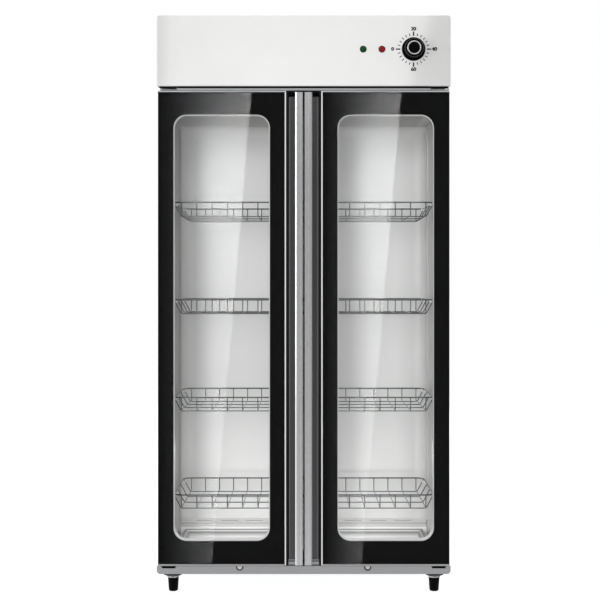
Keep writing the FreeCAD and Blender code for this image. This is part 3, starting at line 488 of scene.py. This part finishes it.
def rubbers():
    """The doors' seals, black in the groove and grey behind it, and a black that stands for painted
    shade in joints, slots and notches.
    """
    soft = {"mottle": 0.05, "grain": even(500), "relief": (0.2, 0.1)}
    seal = surface("door_rubber", linear(13, 13, 14), roughness=0.6, spread=0.06,
                   Specular_IOR_Level=0.2, **soft)
    deepened(seal, clear=28.0, full=30.0, shade=opaque(120, 121, 122))
    surface("painted_shade_black", linear(9, 9, 10), roughness=0.7, spread=0.04, Specular_IOR_Level=0.05, **soft)


def nylons():
    """Natural nylon, and the door buffers with painted shade on their flank and rim."""
    surface("nylon", linear(226, 224, 216), roughness=0.45, mottle=0.02)
    buffers = surface("buffer_nylon", linear(222, 221, 216), roughness=0.45, mottle=0.02)
    deepened(buffers, clear=1.2, full=2.4, shade=(0.03, 0.03, 0.031, 1))
    shaded(buffers, painted_shade_buffer_rim, grey(0.02))


def black_plastic():
    """Moulded black plastic of the knob, the feet and the electrical units."""
    surface("black_plastic", linear(4, 4, 4), roughness=0.42, mottle=0.08, grain=even(900),
            relief=(0.25, 0.06), spread=0.06, Specular_IOR_Level=0.05)


def lenses():
    """The two lamps' coloured lenses."""
    for name, colour in (("green_lens", linear(8, 74, 22)), ("red_lens", linear(150, 12, 20))):
        surface(name, colour, roughness=0.16, mottle=0.12, mottle_scale=even(300), spread=0.03,
                Specular_IOR_Level=0.25)


def inks():
    """The black print of the dial, and the grey of the painted glints on the knob's grip."""
    surface("dial_ink", linear(8, 8, 9), roughness=0.5, mottle=0.06)
    surface("knurl_glint_grey", linear(150, 150, 152), roughness=0.5, mottle=0.05)


def heater_and_wool():
    """Steatite blocks, quartz tubes and the mineral wool behind the liner."""
    surface("ceramic", linear(222, 216, 202), roughness=0.5, mottle=0.04)
    surface("quartz", linear(214, 208, 198), roughness=0.2, mottle=0.05)
    surface("mineral_wool", linear(196, 180, 120), roughness=0.95, mottle=0.2,
            mottle_scale=even(120), grain=(400, 60, 400), relief=(0.9, 1.5))


white_enamel()
grey_enamels()
door_enamel()
brushed("liner_steel", 214)
liner_shade()
rear_wall()
cover_steel()
tray_steel()
galvanised("galvanised_steel", linear(178, 181, 184))
corner_steel()
hardware()
aluminium()
pull_aluminium()
toughened_glass()
black_print()
rubbers()
nylons()
black_plastic()
lenses()
inks()
heater_and_wool()


# ---- finishes of the CAD nodes --------------------------------------------------
NODE_FINISH = {
    "white_enamel": ("right_side_panel", "left_side_panel", "top_cover", "header_panel"),
    "galvanised_steel": ("back_panel", "base_pan", "control_tray"),
    "corner_steel": ("foot_sockets",),
    "grey_enamel": ("sill", "top_rail"),
    "frame_enamel": ("face_frame",),
    "rear_wall": ("liner_back",),
    "liner_steel": ("liner_floor", "rack_hooks"),
    "cover_steel": ("heater_cover",),
    "tray_steel": ("drip_tray",),
    "liner_shade": ("liner_sides", "liner_ceiling", "rack_posts"),
    "zinc_hardware": ("hinge_brackets", "hinge_pins", "foot_studs", "timer_shaft"),
    "door_enamel": ("left_door_inner_frame", "right_door_inner_frame"),
    "black_print": ("left_door_print", "right_door_print"),
    "aluminium": ("left_door_end_rails", "right_door_end_rails"),
    "pull_aluminium": ("left_door_handle", "right_door_handle"),
    "door_rubber": ("left_door_seal", "right_door_seal"),
    "buffer_nylon": ("sill_buffers",),
    "nylon": ("left_door_hinge_bushes", "right_door_hinge_bushes"),
    "black_plastic": ("timer_body", "lamp_holders", "terminal_block", "door_sensors",
                      "cable_gland"),
    "ceramic": ("heater_sockets",),
    "quartz": ("heater_tubes",),
    "mineral_wool": ("insulation",),
    "cast_alloy": ("ozone_generator", "thermostat"),
}
for finish, names in NODE_FINISH.items():
    for name in names:
        nodes[name].data.materials.clear()
        nodes[name].data.materials.append(MATERIALS[finish])


# ---- mesh helpers -------------------------------------------------------------
# A part is a pair (points, faces) in millimetres, in the frame.
SMOOTH = 180


def mesh_from(name, points, faces):
    """A mesh of points and faces."""
    mesh = bpy.data.meshes.new(name)
    mesh.from_pydata([tuple(p) for p in points], [], faces)
    mesh.update()
    return mesh


def add_mesh(name, mesh, finish, body, replaced=()):
    """Puts a mesh, drawn in millimetres in the frame, on its body."""
    mesh.transform(Matrix.Scale(MM, 4))
    mesh.materials.append(MATERIALS[finish])
    piece = bpy.data.objects.new(name, mesh)
    bpy.context.scene.collection.objects.link(piece)
    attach(piece, body)
    if replaced:
        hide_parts(*replaced)
    return piece


def add_parts(name, parts, finish, body, replaced=(), crease=0):
    """One piece from several parts. Edges sharper than crease degrees stay hard; 0 is all flat."""
    points, faces = [], []
    for more_points, more_faces in parts:
        start = len(points)
        points += more_points
        faces += [tuple(start + i for i in face) for face in more_faces]
    mesh = mesh_from(name, points, faces)
    if crease:
        mesh.shade_smooth()
    if 0 < crease < SMOOTH:
        mesh.set_sharp_from_angle(angle=math.radians(crease))
    return add_mesh(name, mesh, finish, body, replaced)


def flanks(rings, sides, closed=False):
    """The faces between rings of points, each ring joined to the next."""
    faces = []
    for i in range(rings if closed else rings - 1):
        j = (i + 1) % rings
        for k in range(sides):
            n = (k + 1) % sides
            faces.append((i * sides + k, i * sides + n, j * sides + n, j * sides + k))
    return faces


def caps(rings, sides):
    """The faces that close the first and the last ring."""
    last = (rings - 1) * sides
    return [tuple(reversed(range(sides))), tuple(last + k for k in range(sides))]


def filleted(points, radius, steps=5, closed=False):
    """A path whose corners are rounded by arcs."""
    count = len(points)
    out = []
    for i, point in enumerate(points):
        if not closed and i in (0, count - 1):
            out.append(point)
            continue
        before = (points[i - 1] - point).normalized()
        after = (points[(i + 1) % count] - point).normalized()
        half = before.angle(after) / 2
        cut = radius / math.tan(half)
        centre = point + (before + after).normalized() * (radius / math.sin(half))
        first, last = point + before * cut - centre, point + after * cut - centre
        turn = first.angle(last)
        axis = first.cross(last).normalized()
        for k in range(steps + 1):
            out.append(centre + Matrix.Rotation(turn * k / steps, 3, axis) @ first)
    return out


def tube(points, radius, sides=10, closed=False):
    """A round wire along a path."""
    count = len(points)
    verts = []
    normal = None
    for i, point in enumerate(points):
        ahead = points[(i + 1) % count] if closed or i < count - 1 else point
        behind = points[i - 1] if closed or i > 0 else point
        along = (ahead - behind).normalized()
        if normal is None:
            normal = along.orthogonal().normalized()
        normal = (normal - along * normal.dot(along)).normalized()
        other = along.cross(normal)
        for k in range(sides):
            a = 2 * math.pi * k / sides
            verts.append(point + normal * (radius * math.cos(a)) + other * (radius * math.sin(a)))
    return verts, flanks(count, sides, closed) + ([] if closed else caps(count, sides))


def turned(profile, centre, axis, sides, ripple=None):
    """A lathed solid, closed at both ends. profile holds (radius, distance along axis)."""
    side = axis.orthogonal().normalized()
    other = axis.cross(side)
    verts = []
    for radius, reach in profile:
        for k in range(sides):
            a = 2 * math.pi * k / sides
            r = radius + (ripple(k, radius) if ripple else 0.0)
            verts.append(centre + axis * reach + side * (r * math.cos(a))
                         + other * (r * math.sin(a)))
    return verts, flanks(len(profile), sides) + caps(len(profile), sides)


def rectangle(first, second, inset):
    """The corners of a rectangle, in order round it, drawn in by an inset."""
    (left, right), (near, far) = first, second
    return [(left + inset, near + inset), (right - inset, near + inset),
            (right - inset, far - inset), (left + inset, far - inset)]


def eased(low, high, ease):
    """The inset and the level of each of the four rings of a body with eased edges."""
    return (ease, low), (0, low + ease), (0, high - ease), (ease, high)


def strip(x, y, z, ease):
    """A straight strip with eased edges all round."""
    points = [Vector((a, b, level)) for inset, level in eased(*z, ease)
              for a, b in rectangle(x, y, inset)]
    return points, caps(4, 4) + flanks(4, 4)


def outward(angle):
    """The direction of an angle on the fascia, counted from the right, upwards."""
    return Vector((math.cos(angle), 0, math.sin(angle)))


def radial_bar(angle, reach, half, proud):
    """A small raised bar round the knob: reach and proud hold its two ends, half its half width."""
    across = outward(angle + math.pi / 2)
    corners = ((reach[0], -half), (reach[1], -half), (reach[1], half), (reach[0], half))
    points = [KNOB_CENTRE + outward(angle) * r + across * s + TOWARD * level
              for level in proud for r, s in corners]
    return points, [face[::-1] for face in caps(2, 4) + flanks(2, 4)]


# ---- wire baskets ---------------------------------------------------------------
RIM_RADIUS, WIRE_RADIUS = 2.2, 1.5
RIM_CORNER = 24.0
RACK_DROP, RACK_FLOOR_X = 38.0, 362.0
CROSS_WIRES, CROSS_PITCH, CROSS_BEND = 17, 45.0, 7.0
LONG_WIRES, LONG_PITCH, LONG_BEND, LONG_START = 4, 88.0, 9.0, 12.0
END_SINK = 0.5


def basket(number):
    """Rim, front-to-rear wires and lengthwise wires of one basket, in place of its CAD node."""
    node = f"rack_{number}"
    left, right = drawn_in(node, "x", RIM_RADIUS)
    front, rear = drawn_in(node, "y", RIM_RADIUS)
    level = span(node, "z")[1] - RIM_RADIUS
    wire_end = level - END_SINK
    floor = level - RACK_DROP
    under = floor - 2 * WIRE_RADIUS
    corners = [Vector((x, y, level)) for x, y in rectangle((left, right), (front, rear), 0)]
    parts = [tube(filleted(corners, RIM_CORNER, 8, True), RIM_RADIUS, 12, True)]
    for i in range(CROSS_WIRES):
        x = (i - (CROSS_WIRES - 1) / 2) * CROSS_PITCH
        path = [Vector((x, *place)) for place in ((front, wire_end), (front, floor),
                                                  (rear, floor), (rear, wire_end))]
        parts.append(tube(filleted(path, CROSS_BEND), WIRE_RADIUS))
    for i in range(LONG_WIRES):
        y = front + LONG_START + i * LONG_PITCH
        path = [Vector((x, y, z)) for x, z in ((left, wire_end), (-RACK_FLOOR_X, under),
                                               (RACK_FLOOR_X, under), (right, wire_end))]
        parts.append(tube(filleted(path, LONG_BEND), WIRE_RADIUS))
    add_parts(f"basket_{number}_wires", parts, "rack_wire", f"basket_{number}", (node,),
              crease=SMOOTH)


for number in range(1, 5):
    basket(number)


# ---- glass panes ----------------------------------------------------------------
def pane(side):
    """A door's glass with eased edges, a hair smaller than its CAD solid."""
    node = f"{side}_door_glass"
    hair, ease = 0.1, 0.8
    x, z = drawn_in(node, "x", hair), drawn_in(node, "z", hair)
    face, rear = span(node, "y")
    points = [Vector((a, depth, c)) for inset, depth in eased(face, rear - 2 * hair, ease)
              for a, c in rectangle(x, z, inset)]
    faces = [corners[::-1] for corners in caps(4, 4) + flanks(4, 4)]
    return add_parts(f"{side}_door_pane", [(points, faces)], "glass", f"{side}_door",
                     (node,))


panes = [pane("left"), pane("right")]


# ---- knob -----------------------------------------------------------------------
# The profiles hold radii and distances before the fascia.
GRIP_RADIUS, RIB_EVERY, RIB_DEPTH = 27.9, 3, 0.8
KNURL_GLINTS = 48


def knob_grip():
    """The skirt and the finely ribbed grip."""
    def ribs(k, radius):
        return -RIB_DEPTH if radius == GRIP_RADIUS and k % RIB_EVERY == 0 else 0.0

    skirt = [(31.0, 0.6), (33.6, 0.8), (34.0, 1.4), (34.0, 3.2), (33.4, 4.2), (32.0, 4.7),
             (30.0, 5.0), (28.6, 5.1)]
    grip = [(27.0, 5.0), (GRIP_RADIUS, 5.4), (GRIP_RADIUS, 19.8), (27.2, 21.2), (25.0, 21.9),
            (20.8, 22.0)]
    parts = [turned(skirt, KNOB_CENTRE, TOWARD, 72), turned(grip, KNOB_CENTRE, TOWARD, 144, ribs)]
    add_parts("timer_knob_grip", parts, "black_plastic", "timer_dial",
              ("timer_knob",), crease=40)


def knob_ring():
    """The bright ring round the cap."""
    ring = [(20.1, 21.6), (20.1, 24.0), (19.6, 24.7), (18.3, 25.0), (17.1, 24.7), (16.5, 24.2),
            (16.5, 21.6)]
    add_parts("timer_knob_ring", [turned(ring, KNOB_CENTRE, TOWARD, 72)], "chrome", "timer_dial",
              ("knob_ring",), crease=50)


def knob_knurl_glints():
    """A ring of painted glints: grey bars on the grip's shoulder where the knurl catches light."""
    glint_bars = []
    for i in range(KNURL_GLINTS):
        angle = 2 * math.pi * (i + 0.5) / KNURL_GLINTS
        glint_bars.append(radial_bar(angle, reach=(25.6, 26.8), half=0.5, proud=(21.5, 21.95)))
    add_parts("timer_knob_glints", glint_bars, "knurl_glint_grey", "timer_dial")


def knob_cap():
    """The low domed cap."""
    cap = [(16.2, 23.6), (16.2, 24.7), (15.4, 25.3), (13.0, 25.7), (8.0, 25.9), (0.5, 26.0)]
    add_parts("timer_knob_cap", [turned(cap, KNOB_CENTRE, TOWARD, 72)], "black_plastic",
              "timer_dial", crease=SMOOTH)


knob_grip()
knob_ring()
knob_knurl_glints()
knob_cap()


# ---- dial -----------------------------------------------------------------------
TICKS, TICKS_PER_QUARTER = 24, 6
NUMBER_SIZE, NUMBER_DEPTH, NUMBER_SWELL, NUMBER_PROUD = 14.5, 0.06, 0.2, 0.08
BOLD_SHIFT, BOLD_STEP, WELD = 0.8, 0.02, 0.002


def dial_ticks():
    """Ticks printed on the fascia round the knob, long and broad at every quarter."""
    parts = []
    for i in range(TICKS):
        angle = 2 * math.pi * i / TICKS
        reach, half = ((38.5, 51.0), 2.0) if i % TICKS_PER_QUARTER == 0 else ((39.5, 46.5), 1.2)
        parts.append(radial_bar(angle, reach, half, proud=(0.02, 0.15)))
    add_parts("dial_ticks", parts, "dial_ink", "cabinet")


def lettering(text):
    """A mesh of a text, centred on the origin in the x-y plane."""
    curve = bpy.data.curves.new("number", "FONT")
    curve.body = text
    curve.size = NUMBER_SIZE
    curve.extrude = NUMBER_DEPTH
    curve.offset = NUMBER_SWELL
    curve.align_x = "CENTER"
    curve.align_y = "CENTER"
    holder = bpy.data.objects.new("number", curve)
    bpy.context.scene.collection.objects.link(holder)
    bpy.context.view_layer.update()
    solid = holder.evaluated_get(bpy.context.evaluated_depsgraph_get())
    mesh = bpy.data.meshes.new_from_object(solid)
    bpy.data.objects.remove(holder)
    mesh.materials.clear()
    return mesh


def embolden(mesh):
    """Thickens upright letters by three copies side by side, each a hair before the last."""
    bold = bmesh.new()
    for shift in (-BOLD_SHIFT, 0.0, BOLD_SHIFT):
        copy = mesh.copy()
        copy.transform(Matrix.Translation((shift, -BOLD_STEP * (shift + BOLD_SHIFT), 0)))
        bold.from_mesh(copy)
        bpy.data.meshes.remove(copy)
    bmesh.ops.remove_doubles(bold, verts=bold.verts, dist=WELD)
    bmesh.ops.dissolve_degenerate(bold, edges=bold.edges, dist=WELD)
    bold.to_mesh(mesh)
    bold.free()


def dial_number(text, degrees, reach):
    """A number beside the ticks; reach is from the knob's centre to its own."""
    mesh = lettering(text)
    centre = KNOB_CENTRE + outward(math.radians(degrees)) * reach + TOWARD * NUMBER_PROUD
    mesh.transform(Matrix.Translation(centre) @ Matrix.Rotation(math.radians(90), 4, "X"))
    embolden(mesh)
    add_mesh(f"dial_number_{text}", mesh, "dial_ink", "cabinet")


dial_ticks()
dial_number("0", 180, reach=60.5)
dial_number("20", 90, reach=58.5)
dial_number("40", 0, reach=60.5)
dial_number("60", 270, reach=58.5)


# ---- lamps ----------------------------------------------------------------------
LENS_RADIUS, LENS_RISE, LENS_FOOT = 8.8, 3.2, 1.6


def lamp(colour):
    """A black bezel and a domed lens, in place of the CAD lamp."""
    centre = Vector((middle(f"{colour}_lamp", "x"), FRONT, CONTROL_Z))
    bezel = [(9.9, 0.02), (9.9, 1.2), (9.4, 1.9), (8.9, 2.0), (8.5, 1.4)]
    add_parts(f"{colour}_lamp_bezel", [turned(bezel, centre, TOWARD, 48)], "black_plastic",
              "cabinet", crease=50)
    dome = [(LENS_RADIUS, LENS_FOOT - 1.0)]
    for degrees in (0, 15, 30, 45, 60, 75, 88):
        a = math.radians(degrees)
        dome.append((LENS_RADIUS * math.cos(a), LENS_FOOT + LENS_RISE * math.sin(a)))
    add_parts(f"{colour}_lamp_dome", [turned(dome, centre, TOWARD, 48)], f"{colour}_lens",
              "cabinet", (f"{colour}_lamp",), crease=SMOOTH)


lamp("green")
lamp("red")


# ---- painted shade strips, slot shades and plugs --------------------------------
SIDES = (("left", -1), ("right", 1))
HAIR = 0.05
PLUG_GAP = 0.4
PLUG_BLOCKS = {"shallow": ((8.5, 23.9), 8.4), "deep": ((24.3, 37.0), 12.7)}


def painted_shade_black(name, side, depths, drop, ease):
    """A black strip of painted shade in the joint under the header, reaching down by a drop."""
    y = [FRONT + depth for depth in depths]
    z = (HEADER_BOTTOM - drop, HEADER_BOTTOM - HAIR)
    add_parts(name, [strip((-side, side), y, z, ease)], "painted_shade_black", "cabinet")


def slot_painted_shade(side, sign):
    """Painted shade: a black piece inside the slot at one end of the sill."""
    x = sorted((sign * (SILL_SIDE - 54.0), sign * (SILL_SIDE - 15.0)))
    inlay = strip(x, (FRONT - 0.12, FRONT + 1.0), (SILL_TOP - 6.4, SILL_TOP - 2.4), 0.1)
    add_parts(f"{side}_slot_painted_shade", [inlay], "painted_shade_black", "cabinet")


def pull_plug(side, sign, end, finish):
    """Closes the notch at one end of a pull's groove, in a shallow and a deep block."""
    x = sorted((sign * (PULL_INNER + 7.9), sign * (PULL_OUTER - 11.3)))
    level, inward = (DOOR_TOP, -1) if end == "top" else (DOOR_BOTTOM, 1)
    blocks = []
    for depths, height in PLUG_BLOCKS.values():
        y = [FRONT + depth for depth in depths]
        z = sorted((level + inward * PLUG_GAP, level + inward * height))
        blocks.append(strip(x, y, z, ease=0.4))
    add_parts(f"{side}_pull_{end}_plug", blocks, finish, f"{side}_door")


painted_shade_black("header_shade_strip", HEADER_SIDE - 7.0, depths=(3.0, 12.0), drop=3.9, ease=0.4)
painted_shade_black("header_shade_strip_lip", TOP_RAIL_SIDE - 1.0, depths=(0.8, 1.9), drop=5.6, ease=0.3)
for side, sign in SIDES:
    slot_painted_shade(side, sign)
# The top plugs are black, a painted shade; the foot plugs take the sill's grey, painted like the
# lit sill seen through the notch.
for side, sign in SIDES:
    pull_plug(side, sign, "top", "painted_shade_black")
    pull_plug(side, sign, "foot", "grey_enamel")


# ---- screws at the rear ---------------------------------------------------------
SIDE_SCREWS, SIDE_START, SIDE_PITCH, SIDE_EDGE = 9, 140, 190, 7.5
TOP_SCREWS, TOP_PITCH, TOP_EDGE = 4, 200, 8.5


def screw(centre, axis):
    """A low pan head with a cross recess."""
    head = [(3.6, 0.0), (3.6, 0.45), (3.2, 0.72), (2.4, 0.86), (1.9, 0.9)]
    head_top, recess_floor, floor_share = 0.9, 0.3, 0.75
    arm, half = 1.7, 0.4
    side = axis.orthogonal().normalized()
    other = axis.cross(side)
    cross = []
    for k in range(4):
        a = math.pi / 2 * k
        out = side * math.cos(a) + other * math.sin(a)
        flank = axis.cross(out)
        cross += [out * arm - flank * half, out * arm + flank * half, out * half + flank * half]
    count = len(cross)
    points, faces = turned(head, centre, axis, count)
    faces.pop()
    start = len(points)
    rim = start - count
    for level, share in ((head_top, 1.0), (recess_floor, floor_share)):
        points += [centre + p * share + axis * level for p in cross]
    for k in range(count):
        n = (k + 1) % count
        faces.append((start + k, start + n, start + count + n, start + count + k))
        faces.append((rim + k, rim + n, start + n, start + k))
    faces.append(tuple(start + count + k for k in range(count)))
    return points, faces


def rear_screws():
    """The rear panel's screws up both sides, and the top cover's along the top."""
    levels = [SIDE_START + SIDE_PITCH * i for i in range(SIDE_SCREWS)]
    places = [(sign * (CASE_SIDE - SIDE_EDGE), z) for sign in (-1, 1) for z in levels]
    places += [(TOP_PITCH * (i - (TOP_SCREWS - 1) / 2), CASE_TOP - TOP_EDGE)
               for i in range(TOP_SCREWS)]
    parts = [screw(Vector((x, CASE_REAR, z)), REARWARD) for x, z in places]
    add_parts("rear_screws", parts, "zinc_hardware", "cabinet", crease=40)


rear_screws()


# ---- feet -----------------------------------------------------------------------
def foot(name):
    """A tapered cup with its bore, in place of the CAD foot."""
    node = f"foot_{name}"
    top = span(node, "z")[1] - 0.1
    outside = [(9.5, 0.0), (11.3, 0.5), (12.9, 2.0), (13.6, 4.0), (16.0, top - 2.4),
               (15.8, top - 0.6), (14.8, top)]
    bore = [(5.4, top), (5.2, top - 1.4), (5.2, 17.0)]
    centre = Vector((middle(node, "x"), middle(node, "y"), 0))
    add_parts(f"{name}_cup", [turned(outside + bore, centre, UP, 48)], "black_plastic",
              f"{name}_foot", (node,), crease=50)


for row in ("front", "rear"):
    for side in ("left", "right"):
        foot(f"{row}_{side}")


# ---- camera ---------------------------------------------------------------------
# From here on lengths are in metres.
CAMERA_DISTANCE, CAMERA_HEIGHT = 3.2, 0.9
EYE = Vector((0.0, FRONT * MM - CAMERA_DISTANCE, CAMERA_HEIGHT))
camera = bpy.data.objects.new("camera", bpy.data.cameras.new("camera"))
camera.location = EYE
camera.rotation_euler = (math.radians(90), 0, 0)
camera.data.lens = 66.4
camera.data.shift_x = -0.0062
camera.data.shift_y = -0.025
bpy.context.scene.collection.objects.link(camera)
bpy.context.scene.camera = camera


# ---- floor and background -------------------------------------------------------
AMBIENT = 0.42
FLOOR_GLOW, FLOOR_REACH = 0.82, 60


def background_rays(tree):
    """1 for the rays that see the plain background: camera, glossy and transmission."""
    path = tree.nodes.new("ShaderNodeLightPath")
    total = path.outputs["Is Camera Ray"]
    for name in ("Is Glossy Ray", "Is Transmission Ray"):
        total = combined(tree, "MAXIMUM", total, path.outputs[name])
    return total


def stage_sheet(name, points, faces, material, unseen_by, linked=None):
    """A flat piece of the set; unseen_by names the kinds of ray that pass it by."""
    mesh = mesh_from(name, points, faces)
    mesh.materials.append(material)
    sheet = bpy.data.objects.new(name, mesh)
    bpy.context.scene.collection.objects.link(sheet)
    for ray in unseen_by:
        setattr(sheet, f"visible_{ray}", False)
    sheet.light_linking.receiver_collection = linked
    return sheet


def dull(name, level):
    """A matt grey material for the set, whose white glow is still off."""
    material, tree, shader = new_material(name)
    shader.inputs["Base Color"].default_value = grey(level)
    shader.inputs["Specular IOR Level"].default_value = 0.0
    shader.inputs["Emission Color"].default_value = grey(1.0)
    return material, tree, shader


def world():
    """A white background that lights the object at a plain level."""
    studio = bpy.data.worlds.new("studio")
    studio.use_nodes = True
    bpy.context.scene.world = studio
    tree = studio.node_tree
    background = tree.nodes["Background"]
    background.inputs["Color"].default_value = grey(1.0)
    strength = between(tree, background_rays(tree), AMBIENT, 1.0, 0.0, 1.0)
    tree.links.new(strength, background.inputs["Strength"])


def floor():
    """A pale floor that keeps the object's shadow."""
    material, tree, shader = dull("floor", 0.5)
    shader.inputs["Roughness"].default_value = 0.9
    glow = between(tree, background_rays(tree), 0.0, FLOOR_GLOW, 0.0, 1.0)
    tree.links.new(glow, shader.inputs["Emission Strength"])
    square = rectangle((-FLOOR_REACH, FLOOR_REACH), (-FLOOR_REACH, FLOOR_REACH), 0)
    stage_sheet("floor", [(x, y, 0) for x, y in square], [(0, 1, 2, 3)], material, ("glossy",))


world()
floor()


# ---- lights ---------------------------------------------------------------------
MIDDLE = (0, 0, 0.9)
CHAMBER_FILL, FILL_Y = 0.63, -0.165
WINDOW_KEY = 140.0


def softbox(name, place, target, size, power, glossy=False, linked=None):
    """A soft box that faces its target; linked is the group that it is kept to."""
    light = bpy.data.lights.new(name, "AREA")
    light.shape = "RECTANGLE"
    light.size, light.size_y = size
    light.energy = power
    box = bpy.data.objects.new(name, light)
    box.location = place
    box.rotation_euler = (Vector(target) - Vector(place)).to_track_quat("-Z", "Y").to_euler()
    box.visible_glossy = glossy
    box.visible_camera = False
    box.light_linking.receiver_collection = linked
    bpy.context.scene.collection.objects.link(box)


def group(name, pieces):
    """A collection of the pieces that a light is kept to."""
    collection = bpy.data.collections.new(name)
    for piece in pieces:
        collection.objects.link(piece)
    return collection


def room_lights():
    """The soft boxes round the cabinet; only the left one shows in metal."""
    softbox("front_softbox", (-0.6, -5.2, 1.5), (0, 0, 0.85), size=(3.4, 2.6), power=68)
    softbox("left_softbox", (-3.2, -1.9, 1.5), MIDDLE, size=(1.6, 2.4), power=30, glossy=True)
    softbox("right_softbox", (3.6, -0.6, 1.7), MIDDLE, size=(1.4, 2.2), power=16)
    softbox("top_softbox", (0.0, -0.5, 4.2), MIDDLE, size=(2.2, 2.2), power=16)
    softbox("rear_softbox", (1.2, 4.4, 1.9), MIDDLE, size=(2.4, 2.4), power=70)


def chamber_lights():
    """Fills just behind the doors and over the tray, and a key that reaches only the chamber."""
    for side, x, z, height in (("left", -0.262, 0.80, 1.24), ("right", 0.262, 0.92, 1.0)):
        softbox(f"{side}_chamber_fill", (x, FILL_Y, z), (x, 1, z), size=(0.26, height),
                power=CHAMBER_FILL * height)
    softbox("floor_fill", (0, -0.14, 0.235), (0, 0.12, 0.11), size=(0.70, 0.05), power=1.1)
    chamber = group("chamber", [nodes[name] for name in (
        "liner_back", "liner_sides", "liner_ceiling", "liner_floor", "heater_cover", "drip_tray",
        "rack_posts", "rack_hooks")])
    softbox("window_key", (-0.95, -5.2, 1.5), MIDDLE, size=(0.8, 2.0), power=WINDOW_KEY,
            linked=chamber)


def header_lights():
    """A wash on the fascia and a fill along its lower edge."""
    fascia = group("fascia", [nodes["header_panel"]])
    softbox("header_wash", (0, -1.3, 1.59), (0, 0, 1.58), size=(1.2, 0.12), power=2.6,
            linked=fascia)
    softbox("header_edge", (0, -0.40, 1.05), (0, -0.205, 1.475), size=(0.8, 0.06), power=0.15,
            linked=fascia)


def window_rim_fills():
    """A light on the bottom of each window's lip."""
    sides = {"left": -0.2375, "right": 0.2375}
    rims = group("window_rims", [nodes[f"{side}_door_inner_frame"] for side in sides])
    for side, x in sides.items():
        softbox(f"{side}_rim_fill", (x, -0.190, 0.45), (x, -0.190, 0.0), size=(0.24, 0.02),
                power=0.32, linked=rims)


room_lights()
chamber_lights()
header_lights()
window_rim_fills()


# ---- flags, nets and glare ------------------------------------------------------
SCRIM_LOW, SCRIM_TOP = 1.462, 1.72
CARD_LOW, CARD_TOP = 0.075, 1.475
GLARE, FAINTEST, CLIMB = 33.0, 0.01, 1.6
GLARE_LOW, GLARE_GAIN = 0.38, 0.55
SWELL, SWELL_HEIGHT, SWELL_WIDTH = 1.7, 0.80, 0.11
SWELL_START, SWELL_GROWTH = 0.2, 0.4
CARD_SETBACK = 0.01


def grey_flag(name, start, end, low, high, glow):
    """An upright grey panel that metal and glass reflect instead of white."""
    material, _, shader = dull(name, 0.01)
    shader.inputs["Emission Strength"].default_value = glow
    corners = [(*start, low), (*end, low), (*end, high), (*start, high)]
    stage_sheet(name, corners, [(0, 1, 2, 3)], material,
                ("camera", "diffuse", "transmission", "shadow"))


def scrim(name, y, low, top, passed):
    """A thin net before the fascia that lets only a share of the light through.

    low and top hold the x of its left and right edges at its foot and at its head.
    """
    material, tree, shader = new_material(name)
    tree.nodes.remove(shader)
    net = tree.nodes.new("ShaderNodeBsdfTransparent")
    net.inputs["Color"].default_value = grey(passed)
    tree.links.new(net.outputs["BSDF"], tree.nodes["Material Output"].inputs["Surface"])
    corners = [(low[0], y, SCRIM_LOW), (low[1], y, SCRIM_LOW), (top[1], y, SCRIM_TOP),
               (top[0], y, SCRIM_TOP)]
    stage_sheet(name, corners, [(0, 1, 2, 3)], material, ("camera", "glossy", "transmission"))


def glare_at(across, up):
    """How strong the glare is: it grows towards its bright edge and upwards, and swells high up."""
    inward = min(1.0, max(0.0, (across - SWELL_START) / SWELL_GROWTH))
    swell = SWELL * inward * math.exp(-((up - SWELL_HEIGHT) / SWELL_WIDTH) ** 2)
    sideways = FAINTEST + (1 - FAINTEST) * across ** CLIMB
    return sideways * (GLARE_LOW + GLARE_GAIN * up + swell)


def glare_card(name, faint_x, bright_low, bright_top, linked):
    """A light panel that only the glass reflects, from a faint edge to a bright slanted one.

    It stands in the plane of the camera, so its points are twice as far out as the places
    on the pane where it is seen, which are what the arguments give.
    """
    columns, rows = 12, 28
    points, glow = [], []
    for r in range(rows + 1):
        up = r / rows
        z = CARD_LOW + (CARD_TOP - CARD_LOW) * up
        bright_x = bright_low + (bright_top - bright_low) * up
        for c in range(columns + 1):
            across = c / columns
            x = faint_x + (bright_x - faint_x) * across
            points.append((2 * x, EYE.y - CARD_SETBACK, 2 * z - EYE.z))
            glow.append(glare_at(across, up))
    wide = columns + 1
    faces = [(k, k + 1, k + wide + 1, k + wide)
             for r in range(rows) for k in range(r * wide, r * wide + columns)]
    material, tree, shader = new_material(name)
    tree.nodes.remove(shader)
    strength = tree.nodes.new("ShaderNodeAttribute")
    strength.attribute_name = "glow"
    light = tree.nodes.new("ShaderNodeEmission")
    tree.links.new(between(tree, strength.outputs["Fac"], 0.0, GLARE, 0.0, 1.0),
                   light.inputs["Strength"])
    tree.links.new(light.outputs["Emission"], tree.nodes["Material Output"].inputs["Surface"])
    card = stage_sheet(name, points, faces, material,
                       ("camera", "diffuse", "transmission", "shadow"), linked)
    card.data.attributes.new("glow", "FLOAT", "POINT").data.foreach_set("value", glow)


grey_flag("front_flag", start=(-2.6, -6.5), end=(2.6, -6.5), low=-3.0, high=4.5, glow=0.6)
grey_flag("right_flag", start=(4.6, -3.2), end=(4.6, 1.8), low=-2.0, high=3.2, glow=0.30)
scrim("right_scrim", y=-0.255, low=(0.299, 0.470), top=(0.372, 0.470), passed=0.74)
scrim("left_scrim", y=-0.30, low=(-0.470, -0.400), top=(-0.470, -0.400), passed=0.58)
glass_only = group("glass_only", panes)
glare_card("left_glare_card", faint_x=-0.430, bright_low=-0.268, bright_top=-0.1495,
           linked=glass_only)
glare_card("right_glare_card", faint_x=0.050, bright_low=0.1656, bright_top=0.284,
           linked=glass_only)


bpy.context.scene.view_settings.view_transform = "Standard"
